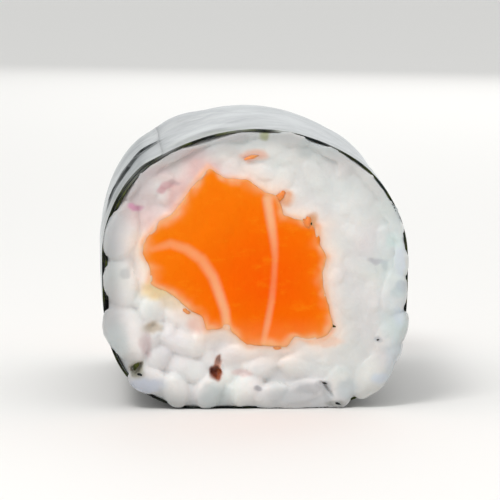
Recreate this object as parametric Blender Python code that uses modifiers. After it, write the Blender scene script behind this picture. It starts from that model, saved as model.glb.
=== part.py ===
"""One piece of salmon maki, lying on its side.

A sheet of nori is rolled round a bed of sushi rice, with a strip of raw salmon down the middle. The roll
runs along Y, with the shown cut end at -Y. It has sagged a little under its own weight, so its underside is
flat. That flat is at Z = 0, and the origin is the middle of it. Lengths are in metres.
"""

import math

import bmesh
import bpy
import numpy as np
from mathutils import Matrix, Vector

MM = 0.001

# The roll, over the nori.
ROLL_WIDTH = 28.4 * MM
ROLL_HEIGHT = 26.4 * MM
ROLL_LENGTH = 30.0 * MM
CROWN_POWER = 2.0  # superellipse power of the upper half, where 2 is an ellipse
BASE_POWER = 3.2  # a higher power makes the two lower corners fuller
POWER_BLEND = 3.0  # how fast one power turns into the other at mid height
BASE_PRESS = 0.35 * MM  # depth of the underside that the roll's weight has pressed flat
OUTLINE_POINTS = 96

# The sheet of nori. Its free edge lies on top of the overlap, at the upper left of the shown end.
SHEET_THICKNESS = 0.4 * MM
SHEET_STEPS_ROUND = 92
SHEET_STEPS_ALONG = 9
FREE_EDGE_ANGLE = math.radians(129)
OVERLAP_ANGLE = math.radians(62)
LIFT_BLEND_ANGLE = math.radians(44)  # over this the outer layer comes down past the inner edge
LUMP_HEIGHT = 0.4 * MM  # how far grains under the sheet push it out
LUMP_FADE = 4.0 * MM  # over this the lumps die out towards the cut ends
LUMP_WAVES = ((7.0, 420.0, 0.0), (4.0, -510.0, 1.0))  # per turn, per metre along the roll, and offset
GAP = 0.3 * MM  # between neighbouring pieces, and between the sheet's two layers

# The strip of salmon. Its cross-section at the shown end, in mm from the middle of the roll.
SALMON_CORNERS_MM = (
    (-4.3, 9.6), (-3.0, 8.6), (-0.9, 8.4), (2.0, 6.7), (2.7, 4.8), (5.4, 3.6),
    (6.5, 1.4), (5.9, -1.8), (7.3, -5.6), (6.6, -6.3), (3.5, -6.2), (2.9, -7.3),
    (-1.1, -6.9), (-2.6, -5.4), (-4.5, -5.8), (-5.7, -3.8), (-7.4, -1.9), (-9.6, -0.9),
    (-10.5, 1.2), (-10.4, 2.5), (-7.1, 5.1), (-5.6, 7.7),
)  # fmt: skip
SALMON_TWIST = math.radians(9)  # the strip turns this much on its way to the far end
SALMON_TAPER = 0.07  # and loses this share of its size
SALMON_PROUD = 0.25 * MM  # how far its cut faces stand out of the roll
SALMON_SECTIONS = 6

# The rice: a core, and the grains that show at each end.
CORE_SINK = 0.8 * MM  # how far the core's ends lie inside the roll
GRAIN_LENGTH = 5.4 * MM
GRAIN_WIDTH = 2.9 * MM
GRAIN_DEPTH = 2.5 * MM
GRAIN_SIZE_SPREAD = 0.12
GRAIN_SIDES = 6
GRAIN_RINGS = 4
GRAIN_PROUD = (0.05 * MM, 0.6 * MM)  # least and most that a grain stands out of the end
GRAIN_TILT = math.radians(16)
FACE_SPACING = 2.3 * MM
FACE_TRIES = 2500
FACE_MARGIN = 0.9 * MM  # from a face grain's middle to the salmon
FACE_HOLE = 0.1  # share of the end's area, in its middle, where no grain is tried
RIM_SPACING = 3.4 * MM
RIM_START = math.radians(160)  # the rice sags over the sheet's edge from here round the base
RIM_END = math.radians(345)
RIM_REACH = 0.05 * MM  # how far inside the sheet's outer face the rim grains end
RIM_PROUD = 1.2 * MM
RIM_SWING = 0.5  # most that a rim grain turns off the rim's direction, in radians
RIM_TILT = 0.15  # most that it tips out of the end
CHANNEL_EASE = 0.04 * MM  # how far the sheet's channel stays off the core, so that it trims only grains
FLOOR_CLEARANCE = 0.15 * MM
CUTTER_REACH = 4.0 * MM  # how far cutters run past what they cut
MERGE_DISTANCE = 0.004 * MM  # points nearer than this after a cut are one point
SHOWN_END_SEED = 11
FAR_END_SEED = 23

NORI_COLOUR = (0.020, 0.026, 0.020, 1.0)
RICE_COLOUR = (0.800, 0.780, 0.745, 1.0)
SALMON_COLOUR = (0.930, 0.180, 0.025, 1.0)


def smoothstep(value):
    """0 below 0, 1 above 1, and an S between."""
    t = np.clip(value, 0.0, 1.0)
    return t * t * (3.0 - 2.0 * t)


def roll_outline(angle, inset=0.0):
    """X and Z of the roll's outer face at these angles, from +X towards +Z, moved inwards by inset.

    The outline is a superellipse whose power goes from CROWN_POWER above to BASE_POWER below. Its lowest
    BASE_PRESS is pressed flat, and nothing reaches below the base.
    """
    angle = np.asarray(angle, float)
    low = 0.5 - 0.5 * np.tanh(POWER_BLEND * np.sin(angle))
    power = CROWN_POWER + (BASE_POWER - CROWN_POWER) * low
    half_width = ROLL_WIDTH / 2
    half_height = ROLL_HEIGHT / 2 + BASE_PRESS * low
    across = np.abs(np.cos(angle) / half_width) ** power
    upright = np.abs(np.sin(angle) / half_height) ** power
    radius = (across + upright) ** (-1.0 / power) - inset
    x = radius * np.cos(angle)
    z = np.maximum(radius * np.sin(angle), np.maximum(inset, 0.0) - ROLL_HEIGHT / 2)
    return x, z + ROLL_HEIGHT / 2


def lumps(angle, y):
    """How far the sheet is pushed out: crossed waves that die out at the base and at the cut ends."""
    waves = np.prod([np.sin(turns * angle + rate * y + start) for turns, rate, start in LUMP_WAVES], axis=0)
    clear_of_base = smoothstep(np.sin(angle) + 0.9)
    clear_of_ends = smoothstep((ROLL_LENGTH / 2 - np.abs(y)) / LUMP_FADE)
    return LUMP_HEIGHT * (0.5 + 0.5 * waves) * clear_of_base * clear_of_ends


def rolled_sheet(along_sheet, y):
    """Where a point of the flat sheet lies once it is rolled up.

    along_sheet runs from 0 at the hidden inner edge to 1 at the free edge, against the angle. The layer on
    top is lifted clear of the one below, and comes down past the inner edge.
    """
    inner_edge = FREE_EDGE_ANGLE + 2 * math.pi + OVERLAP_ANGLE
    angle = inner_edge + (FREE_EDGE_ANGLE - inner_edge) * along_sheet
    past_inner_edge = (angle - FREE_EDGE_ANGLE - OVERLAP_ANGLE) / LIFT_BLEND_ANGLE
    lift = (SHEET_THICKNESS + GAP) * (1.0 - smoothstep(past_inner_edge))
    x, z = roll_outline(angle, inset=-(lift + lumps(angle, y)))
    return np.stack([x, y, z], axis=-1)


def corner_normals(corners):
    """The outward direction at each corner of an outline that runs clockwise, long enough to mitre."""
    edge = np.roll(corners, -1, axis=0) - corners
    edge /= np.linalg.norm(edge, axis=1, keepdims=True)
    outward = np.stack([-edge[:, 1], edge[:, 0]], axis=1)
    both = outward + np.roll(outward, 1, axis=0)
    return both / np.maximum((both * outward).sum(axis=1, keepdims=True), 0.8)


def salmon_outline(y, grow=0.0):
    """X and Z of the salmon's corners at a place along the roll, grown outwards."""
    share = y / ROLL_LENGTH + 0.5
    corners = np.array(SALMON_CORNERS_MM) * MM
    corners = corners + grow * corner_normals(corners)
    turn = SALMON_TWIST * share
    spin = np.array([[math.cos(turn), -math.sin(turn)], [math.sin(turn), math.cos(turn)]])
    corners = corners @ spin.T * (1.0 - SALMON_TAPER * share)
    return corners[:, 0], corners[:, 1] + ROLL_HEIGHT / 2


def distance_to_outline(point, outline):
    """How far a point lies outside a closed outline of X and Z pairs. It is 0 for a point inside."""
    start = np.stack(outline, axis=1)
    edge = np.roll(start, -1, axis=0) - start
    to_point = np.asarray(point) - start
    along = np.clip((to_point * edge).sum(axis=1) / (edge**2).sum(axis=1), 0.0, 1.0)
    nearest = np.linalg.norm(to_point - along[:, None] * edge, axis=1).min()
    above = start[:, 1] > point[1]
    crosses = above != np.roll(above, -1)
    rise = np.where(crosses, edge[:, 1], 1.0)
    at_x = start[:, 0] + (point[1] - start[:, 1]) / rise * edge[:, 0]
    inside = np.count_nonzero(crosses & (at_x > point[0])) % 2 == 1
    return 0.0 if inside else nearest


def principled(name, colour, roughness):
    """A Principled material of one colour."""
    material = bpy.data.materials.new(name)
    material.use_nodes = True
    shader = material.node_tree.nodes["Principled BSDF"]
    shader.inputs["Base Color"].default_value = colour
    shader.inputs["Roughness"].default_value = roughness
    shader.inputs["Metallic"].default_value = 0.0
    material.diffuse_color = colour
    return material


def add_object(name, mesh, collection, material=None):
    """A mesh as an object in a collection."""
    if material is not None:
        mesh.materials.clear()
        mesh.materials.append(material)
    thing = bpy.data.objects.new(name, mesh)
    collection.objects.link(thing)
    return thing


def add_loft(name, sections, collection, material=None):
    """A solid through sections, each a place along Y and that section's X and Z, with flat ends."""
    shape = bmesh.new()
    rings = []
    for y, (across, upright) in sections:
        rings.append([shape.verts.new((x, y, z)) for x, z in zip(across, upright)])
    for near, far in zip(rings, rings[1:]):
        for i in range(len(near)):
            j = (i + 1) % len(near)
            shape.faces.new((near[i], near[j], far[j], far[i]))
    shape.faces.new(rings[0])
    shape.faces.new(rings[-1])
    bmesh.ops.recalc_face_normals(shape, faces=shape.faces)
    mesh = bpy.data.meshes.new(name)
    shape.to_mesh(mesh)
    shape.free()
    return add_object(name, mesh, collection, material)


def add_boolean(thing, operation, operand):
    """Cuts an object with another, or joins it to all the objects of a collection."""
    modifier = thing.modifiers.new(operation.title(), "BOOLEAN")
    modifier.operation = operation
    if isinstance(operand, bpy.types.Collection):
        modifier.operand_type = "COLLECTION"
        modifier.collection = operand
        modifier.solver = "MANIFOLD"
    else:
        modifier.object = operand
        modifier.solver = "EXACT"


def keep_largest_body(mesh):
    """Drops loose scraps and sealed hollows: smaller bodies, which share no edge with the largest."""
    shape = bmesh.new()
    shape.from_mesh(mesh)
    bmesh.ops.remove_doubles(shape, verts=shape.verts, dist=MERGE_DISTANCE)
    left = set(shape.faces)
    bodies = []
    while left:
        body = {left.pop()}
        border = list(body)
        while border:
            face = border.pop()
            near = {other for edge in face.edges for other in edge.link_faces} & left
            left -= near
            body |= near
            border += near
        bodies.append(body)
    largest = max(bodies, key=len)
    loose = [face for face in shape.faces if face not in largest]
    bmesh.ops.delete(shape, geom=loose, context="FACES")
    shape.to_mesh(mesh)
    shape.free()


def make_nori(parts):
    """The sheet: a flat grid that is rolled up, with its thickness inside the rolled face."""
    shape = bmesh.new()
    bmesh.ops.create_grid(shape, x_segments=SHEET_STEPS_ROUND, y_segments=SHEET_STEPS_ALONG, size=0.5)
    flat = np.array([vertex.co for vertex in shape.verts])
    rolled = rolled_sheet(flat[:, 0] + 0.5, flat[:, 1] * ROLL_LENGTH)
    for vertex, place in zip(shape.verts, rolled):
        vertex.co = place
    mesh = bpy.data.meshes.new("nori_sheet")
    shape.to_mesh(mesh)
    shape.free()
    mesh.shade_smooth()
    sheet = add_object("nori_sheet", mesh, parts, principled("nori", NORI_COLOUR, 0.45))
    wall = sheet.modifiers.new("Thickness", "SOLIDIFY")
    wall.thickness = SHEET_THICKNESS
    wall.offset = -1.0
    wall.use_even_offset = True


def make_salmon(parts):
    """The strip of salmon, from end to end of the roll."""
    reach = ROLL_LENGTH / 2 + SALMON_PROUD
    places = np.linspace(-reach, reach, SALMON_SECTIONS)
    sections = [(y, salmon_outline(y)) for y in places]
    add_loft("salmon_strip", sections, parts, principled("salmon", SALMON_COLOUR, 0.35))


def grain_turn(lie, tilt, roll):
    """The rotation of a grain: rolled about its length, tipped out of the cut face, then laid in it."""
    lie_in_face = Matrix.Rotation(-lie, 3, "Y")
    return lie_in_face @ Matrix.Rotation(tilt, 3, "Z") @ Matrix.Rotation(roll, 3, "X")


def reach_along(turn, size, direction):
    """How far a turned ellipsoid reaches from its middle along a direction."""
    local = turn.transposed() @ Vector(direction)
    return math.sqrt(sum((half * part) ** 2 for half, part in zip(size, local)))


def grain_size(draw):
    """Half of a grain's length, depth and width."""
    share = 1.0 + GRAIN_SIZE_SPREAD * draw.uniform(-1.0, 1.0, 3)
    return tuple(np.array([GRAIN_LENGTH, GRAIN_DEPTH, GRAIN_WIDTH]) / 2 * share)


def face_grains(side, draw):
    """The grains of one cut end, as place, rotation and size.

    They are spread evenly by dropping those that crowd, and each keeps its whole width inside the sheet.
    """
    salmon = salmon_outline(side * ROLL_LENGTH / 2)
    middle_z = ROLL_HEIGHT / 2
    taken = []
    grains = []
    for _ in range(FACE_TRIES):
        size = grain_size(draw)
        turn = grain_turn(*draw.uniform((0, -GRAIN_TILT, 0), (math.pi, GRAIN_TILT, math.pi)))
        angle = draw.uniform(0.0, 2 * math.pi)
        half_across = reach_along(turn, size, (math.cos(angle), 0.0, math.sin(angle)))
        edge_x, edge_z = roll_outline(angle, inset=SHEET_THICKNESS + GAP + half_across)
        share = math.sqrt(draw.uniform(FACE_HOLE, 1.0))
        x = edge_x * share
        z = middle_z + (edge_z - middle_z) * share
        if distance_to_outline((x, z), salmon) < FACE_MARGIN:
            continue
        if any(math.hypot(x - a, z - b) < FACE_SPACING for a, b in taken):
            continue
        taken.append((x, z))
        proud = draw.uniform(*GRAIN_PROUD)
        y = ROLL_LENGTH / 2 + proud - reach_along(turn, size, (0, 1, 0))
        grains.append(((x, side * y, z), turn, size))
    return grains


def rim_grains(side, draw):
    """The grains that sag over the sheet's edge, at even steps round the base, each along the rim."""
    steps = round((RIM_END - RIM_START) * ROLL_WIDTH / 2 / RIM_SPACING)
    grains = []
    for angle in np.linspace(RIM_START, RIM_END, steps + 1):
        size = grain_size(draw)
        jitter = draw.uniform(-1.0, 1.0, 3)
        turn = grain_turn(angle + math.pi / 2 + RIM_SWING * jitter[0], RIM_TILT * jitter[1], jitter[2])
        outward = (math.cos(angle), 0.0, math.sin(angle))
        x, z = roll_outline(angle, inset=RIM_REACH + reach_along(turn, size, outward))
        z = max(float(z), FLOOR_CLEARANCE + reach_along(turn, size, (0, 0, 1)))
        y = ROLL_LENGTH / 2 + RIM_PROUD - reach_along(turn, size, (0, 1, 0))
        grains.append(((float(x), side * y, z), turn, size))
    return grains


def add_grain(name, grain, collection):
    """One grain, a sphere of few sides stretched to an ellipsoid."""
    place, turn, size = grain
    shape = bmesh.new()
    bmesh.ops.create_uvsphere(shape, u_segments=GRAIN_SIDES, v_segments=GRAIN_RINGS, radius=1.0)
    along_x = Matrix.Rotation(math.pi / 2, 4, "Y")
    stretch = Matrix.Diagonal((*size, 1.0))
    stand = Matrix.Translation(place) @ turn.to_4x4() @ stretch @ along_x
    bmesh.ops.transform(shape, matrix=stand, verts=shape.verts)
    mesh = bpy.data.meshes.new(name)
    shape.to_mesh(mesh)
    shape.free()
    add_object(name, mesh, collection)


def make_channel(cutters):
    """The space round the rice that the sheet takes up, with the gap: a block with the rice's bore in it."""
    inset = SHEET_THICKNESS + GAP - CHANNEL_EASE
    reach = ROLL_LENGTH / 2 + GAP
    angle = np.linspace(0.0, 2 * math.pi, OUTLINE_POINTS, endpoint=False)
    block = [(y, roll_outline(angle, inset=-CUTTER_REACH)) for y in (-reach, reach)]
    bore = [(y, roll_outline(angle, inset=inset)) for y in (-2 * reach, 2 * reach)]
    channel = add_loft("sheet_channel", block, cutters)
    add_boolean(channel, "DIFFERENCE", add_loft("rice_bore", bore, cutters))
    return channel


def make_rice(parts, cutters, grains):
    """The bed of rice: a core with the grains of both ends fused on, cut round the salmon and the sheet."""
    for side, seed in ((-1, SHOWN_END_SEED), (1, FAR_END_SEED)):
        draw = np.random.default_rng(seed)
        placed = rim_grains(side, draw) + face_grains(side, draw)
        for number, grain in enumerate(placed):
            add_grain(f"grain_{'shown' if side < 0 else 'far'}_{number}", grain, grains)

    angle = np.linspace(0.0, 2 * math.pi, OUTLINE_POINTS, endpoint=False)
    reach = ROLL_LENGTH / 2 - CORE_SINK
    core = [(y, roll_outline(angle, inset=SHEET_THICKNESS + GAP)) for y in (-reach, 0.0, reach)]
    fused = add_loft("rice_fused", core, cutters)
    far = ROLL_LENGTH / 2 + CUTTER_REACH
    slot = [(y, salmon_outline(y, grow=GAP)) for y in np.linspace(-far, far, SALMON_SECTIONS)]
    add_boolean(fused, "UNION", grains)
    add_boolean(fused, "DIFFERENCE", add_loft("salmon_slot", slot, cutters))
    add_boolean(fused, "DIFFERENCE", make_channel(cutters))

    bpy.context.view_layer.update()
    evaluated = fused.evaluated_get(bpy.context.evaluated_depsgraph_get())
    mesh = bpy.data.meshes.new_from_object(evaluated)
    mesh.name = "rice_bed"
    keep_largest_body(mesh)
    add_object("rice_bed", mesh, parts, principled("rice", RICE_COLOUR, 0.4))


def remove_collection(collection):
    """Removes a collection and all that is in it."""
    for thing in list(collection.objects):
        bpy.data.objects.remove(thing)
    bpy.data.collections.remove(collection)


def main():
    """Clears the scene and makes the roll."""
    for thing in list(bpy.data.objects):
        bpy.data.objects.remove(thing)
    made = {}
    for name in ("salmon_maki_roll", "cutters", "rice_grains"):
        made[name] = bpy.data.collections.new(name)
        bpy.context.scene.collection.children.link(made[name])
    parts = made["salmon_maki_roll"]
    make_nori(parts)
    make_salmon(parts)
    make_rice(parts, made["cutters"], made["rice_grains"])
    remove_collection(made["rice_grains"])
    remove_collection(made["cutters"])


main()
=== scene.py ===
"""The looks of one piece of salmon maki, lying on its side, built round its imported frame.

Every piece is a surface worked out with numpy in the frame's own coordinates: metres, the roll along Y with
its shown cut end at -Y, +Z up, and the origin in the middle of the flat underside. An array of places has X,
Y and Z on its last axis, or X and Z where it lies in a cross-section. A name that ends in mm or deg is in
millimetres or degrees, and so are the tables of places read from the photograph.
"""

from __future__ import annotations

import logging
import math
from collections.abc import Sequence
from dataclasses import dataclass, field
from enum import Enum

import bpy
import numpy as np
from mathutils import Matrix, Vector

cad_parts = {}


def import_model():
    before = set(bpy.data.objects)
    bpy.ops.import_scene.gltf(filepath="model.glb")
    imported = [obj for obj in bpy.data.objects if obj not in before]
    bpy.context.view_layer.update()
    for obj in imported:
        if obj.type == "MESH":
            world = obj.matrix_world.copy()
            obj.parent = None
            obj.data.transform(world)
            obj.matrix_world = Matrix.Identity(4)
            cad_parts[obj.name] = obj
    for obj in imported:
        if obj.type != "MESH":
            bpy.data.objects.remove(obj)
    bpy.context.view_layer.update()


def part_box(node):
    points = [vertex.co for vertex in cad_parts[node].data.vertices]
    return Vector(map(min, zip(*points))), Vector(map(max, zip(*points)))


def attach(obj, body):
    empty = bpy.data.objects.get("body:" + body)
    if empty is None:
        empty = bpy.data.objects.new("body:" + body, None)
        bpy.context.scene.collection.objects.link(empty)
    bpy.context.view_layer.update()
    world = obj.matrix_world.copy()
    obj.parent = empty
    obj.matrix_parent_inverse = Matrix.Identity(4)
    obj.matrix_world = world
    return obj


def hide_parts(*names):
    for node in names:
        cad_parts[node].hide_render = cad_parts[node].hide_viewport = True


MM = 0.001
FULL_TURN = 2 * math.pi
BODY = "root"
log = logging.getLogger("maki")

Array = np.ndarray
Pair = tuple[float, float]
Triple = tuple[float, float, float]
Colour = Triple
Socket = bpy.types.NodeSocket
Material = bpy.types.Material
Mesh = bpy.types.Mesh
Piece = bpy.types.Object


class CutEnd(Enum):
    """The roll's two cut ends, by the side of the origin that each is on."""

    SHOWN = -1
    FAR = 1


# Small numeric tools
# -------------------


def smoothstep(value: Array | float) -> Array:
    """Eases a value: 0 below 0, 1 above 1, and 3t^2 - 2t^3 between."""
    t = np.clip(value, 0.0, 1.0)
    return t * t * (3.0 - 2.0 * t)


def ramp(value: Array, start: float, span: float) -> Array:
    """Eases from 0 where a value is at the start to 1 where it is a span past it."""
    return smoothstep((value - start) / span)


def bell(distance: Array, width: float) -> Array:
    """A soft spot: e to the minus of the squared distance in widths, about a third one width away."""
    return np.exp(-((distance / width) ** 2))


def soft_noise(points: Array, cell: float | Sequence[float], seed: int, octaves: int = 1) -> Array:
    """Smooth noise: random heights at a lattice's corners, eased between them, summed over finer lattices.

    Args:
        points: The places.
        cell: The lattice's spacing, one number or one for each axis.
        seed: Which noise.
        octaves: How many lattices. Each has half the spacing and half the height of the one before.

    Returns:
        Heights from about -1 to 1, one for each point.
    """
    size = 16
    table = np.random.default_rng(seed).uniform(-1.0, 1.0, (size, size, size))
    total = np.zeros(points.shape[:-1])
    strength = 1.0
    scaled = points / np.asarray(cell, float) + 100.0
    for _ in range(octaves):
        corner = np.floor(scaled).astype(int)
        ease = smoothstep(scaled - corner)
        for offset in np.ndindex(2, 2, 2):
            near = (corner + offset) % size
            share = np.prod(np.where(np.array(offset) == 1, ease, 1.0 - ease), axis=-1)
            total += strength * share * table[near[..., 0], near[..., 1], near[..., 2]]
        scaled = scaled * 2.0 + 7.3
        strength *= 0.5
    return total


@dataclass(frozen=True)
class Fade:
    """A share that eases from 0 where a value is at the start to its most a span past it."""

    most: float
    start: float
    span: float

    def at(self, value: Array) -> Array:
        """The share for each value."""
        return self.most * ramp(value, self.start, self.span)


@dataclass(frozen=True)
class Halo:
    """A share that is at its most at no distance and falls softly, to about a third at its reach."""

    most: float
    reach: float

    def at(self, distance: Array) -> Array:
        """The share at each distance."""
        return self.most * bell(distance, self.reach)


@dataclass(frozen=True)
class Waves:
    """A layer of soft noise: how high its waves are, how broad, which noise, and over how many octaves."""

    height: float
    cell: float | Triple
    seed: int
    octaves: int = 1

    def at(self, points: Array) -> Array:
        """The layer's height at each of the points."""
        return self.height * soft_noise(points, self.cell, self.seed, self.octaves)


def without_y(points: Array) -> Array:
    """Places brought to Y = 0, so that noise read there runs straight along the roll."""
    return points * np.array([1.0, 0.0, 1.0])


def mixed(colours: Array, other: Colour, share: Array) -> Array:
    """The points' colours mixed with another one, by a share of it for each point."""
    share = share[:, None]
    return colours * (1.0 - share) + np.array(other) * share


def ray_reach(outline: Array, centre: Array, angle: Array) -> Array:
    """How far rays from a centre run before they meet a closed outline that they meet once.

    Args:
        outline: The outline's X and Z pairs, close together.
        centre: X and Z of the centre.
        angle: The rays' angles, from +X towards +Z.

    Returns:
        Distances, one for each ray, read between the outline's points by angle.
    """
    arm = outline - centre
    turn = np.arctan2(arm[:, 1], arm[:, 0])
    return np.interp(angle, turn, np.hypot(arm[:, 0], arm[:, 1]), period=FULL_TURN)


def degrees_apart(angle: Array, place: float) -> Array:
    """How many degrees angles in radians are past a place in degrees, from -180 to 180."""
    return np.mod(np.degrees(angle) - place + 180.0, 360.0) - 180.0


def distance_to_line(places: Array, line: Array) -> tuple[Array, Array]:
    """The distance from places to a line of several stretches, and how far along it the nearest point is.

    Args:
        places: X and Z pairs on the last axis.
        line: The line's X and Z pairs.

    Returns:
        Distances, and shares of the line's length from 0 to 1.
    """
    start = line[:-1]
    stretch = line[1:] - start
    length = np.linalg.norm(stretch, axis=1)
    arm = places[..., None, :] - start
    along = np.clip((arm * stretch).sum(axis=-1) / length**2, 0.0, 1.0)
    gap = np.linalg.norm(arm - along[..., None] * stretch, axis=-1)
    nearest = gap.argmin(axis=-1)
    before = np.concatenate([[0.0], np.cumsum(length)])
    reached = before[nearest] + np.take_along_axis(along, nearest[..., None], -1)[..., 0] * length[nearest]
    return gap.min(axis=-1), reached / before[-1]


# Meshes
# ------


def grid_quads(rows: int, columns: int, wrap_rows: bool = False, wrap_columns: bool = False) -> Array:
    """The quads of a grid whose point (i, j) is vertex i * columns + j.

    Args:
        rows: How many rows of points.
        columns: How many columns of points.
        wrap_rows: Whether the last row joins the first.
        wrap_columns: Whether the last column joins the first.

    Returns:
        Vertex numbers, four to a quad.
    """
    first_rows, first_columns = np.arange(rows - (not wrap_rows)), np.arange(columns - (not wrap_columns))
    i, j = np.meshgrid(first_rows, first_columns, indexing="ij")
    up, right = (i + 1) % rows, (j + 1) % columns
    corners = (i * columns + j, i * columns + right, up * columns + right, up * columns + j)
    return np.stack(corners, axis=-1).reshape(-1, 4)


def repeated_grids(shapes: Array) -> tuple[Array, Array]:
    """Several grids of one size as a single list of points and quads.

    Args:
        shapes: X, Y and Z on the last axis, after the shape's number, its rows and its columns.

    Returns:
        The points and the quads.
    """
    count, rows, columns = shapes.shape[:-1]
    shift = np.arange(count)[:, None, None] * rows * columns
    return shapes.reshape(-1, 3), (grid_quads(rows, columns)[None] + shift).reshape(-1, 4)


def pole_fan(ring: Array, pole: int) -> Array:
    """The triangles between a closed ring of vertices, in order, and one vertex in its middle."""
    return np.stack([ring, np.roll(ring, -1), np.full_like(ring, pole)], axis=1)


def signed_volume(points: Array, faces: Sequence[Array]) -> float:
    """The volume inside closed faces, negative where they face inwards.

    It is a sixth of the sum, over the triangles of each face, of the first corner times the cross product of
    the other two.

    Args:
        points: The places.
        faces: Arrays of vertex numbers.

    Returns:
        The volume.
    """
    total = 0.0
    for block in faces:
        corners = points[block]
        for k in range(1, block.shape[1] - 1):
            total += float((corners[:, 0] * np.cross(corners[:, k], corners[:, k + 1])).sum())
    return total / 6.0


def make_mesh(name: str, points: Array, *faces: Array, closed: bool = True) -> Mesh:
    """A smooth mesh of these points and faces, with the faces of a closed one turned outwards.

    Args:
        name: The mesh's name.
        points: The places.
        faces: Arrays of vertex numbers.
        closed: Whether the faces close.

    Returns:
        The mesh.
    """
    places = points.reshape(-1, 3)
    if closed and signed_volume(places, faces) < 0.0:
        faces = tuple(block[:, ::-1] for block in faces)
    mesh = bpy.data.meshes.new(name)
    mesh.from_pydata(places, [], [face for block in faces for face in block.tolist()])
    mesh.validate()
    mesh.shade_smooth()
    return mesh


def mesh_points(mesh: Mesh) -> Array:
    """The places of a mesh's vertices.

    Args:
        mesh: The mesh.

    Returns:
        One row for each vertex.
    """
    flat = np.empty(len(mesh.vertices) * 3, np.float32)
    mesh.vertices.foreach_get("co", flat)
    return flat.reshape(-1, 3).astype(float)


def set_mesh_points(mesh: Mesh, points: Array) -> None:
    """Moves a mesh's vertices to these places."""
    mesh.vertices.foreach_set("co", points.astype(np.float32).ravel())
    mesh.update()


def set_share(mesh: Mesh, name: str, values: Array) -> None:
    """Stores one number for each vertex, for the material to read."""
    mesh.attributes.new(name, "FLOAT", "POINT").data.foreach_set("value", values.astype(np.float32).ravel())


def set_colours(mesh: Mesh, name: str, colours: Array) -> None:
    """Stores one colour for each vertex, for the material to read, with an alpha of 1 behind it."""
    flat = np.concatenate([colours, np.ones((len(colours), 1))], axis=1).astype(np.float32)
    mesh.attributes.new(name, "FLOAT_COLOR", "POINT").data.foreach_set("color", flat.ravel())


def add_piece(mesh: Mesh, material: Material) -> Piece:
    """A finished piece with its mesh's name: the mesh holds its place, and it rides on the roll.

    Args:
        mesh: Its mesh, in the frame's coordinates.
        material: What it is dressed in.

    Returns:
        The piece.
    """
    mesh.materials.append(material)
    piece = bpy.data.objects.new(mesh.name, mesh)
    bpy.context.scene.collection.objects.link(piece)
    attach(piece, BODY)
    log.info("%s: %d vertices, %d faces", mesh.name, len(mesh.vertices), len(mesh.polygons))
    return piece


def roughen(mesh: Mesh, layers: tuple[Waves, ...], start: float) -> None:
    """Moves vertices along their normals by fine noise, where they are further from the origin than start.

    Args:
        mesh: The mesh to change.
        layers: The noise's layers.
        start: The distance along Y, either way, from which it works. A millimetre on it is at full height.
    """
    points = mesh_points(mesh)
    flat = np.empty(points.size, np.float32)
    mesh.vertex_normals.foreach_get("vector", flat)
    height = sum(layer.at(points) for layer in layers) * ramp(np.abs(points[:, 1]), start, MM)
    set_mesh_points(mesh, points + flat.reshape(-1, 3) * height[:, None])


def fused_mesh(name: str, points: Array, quads: Array, voxel: float, smoothing: int) -> Mesh:
    """One closed skin round overlapping closed shapes, found on a lattice of cubes and then smoothed.

    Args:
        name: The mesh's name.
        points: The shapes' vertices, in metres.
        quads: Their faces.
        voxel: The side of a cube, in metres.
        smoothing: How many times each vertex moves half way to the middle of its neighbours.

    Returns:
        The skin as a mesh.
    """
    loose = make_mesh(name + "_rough", points / MM, quads, closed=False)
    rough = bpy.data.objects.new(loose.name, loose)
    bpy.context.scene.collection.objects.link(rough)
    skin = rough.modifiers.new("Fuse", "REMESH")
    skin.mode = "VOXEL"
    skin.voxel_size = voxel / MM
    skin.use_smooth_shade = True
    ease = rough.modifiers.new("Ease", "SMOOTH")
    ease.factor = 0.5
    ease.iterations = smoothing
    bpy.context.view_layer.update()
    evaluated = rough.evaluated_get(bpy.context.evaluated_depsgraph_get())
    mesh = bpy.data.meshes.new_from_object(evaluated)
    mesh.name = name
    bpy.data.objects.remove(rough)
    bpy.data.meshes.remove(loose)
    set_mesh_points(mesh, mesh_points(mesh) * MM)
    mesh.shade_smooth()
    return mesh


# The roll's form and the finishes
# --------------------------------


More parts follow.
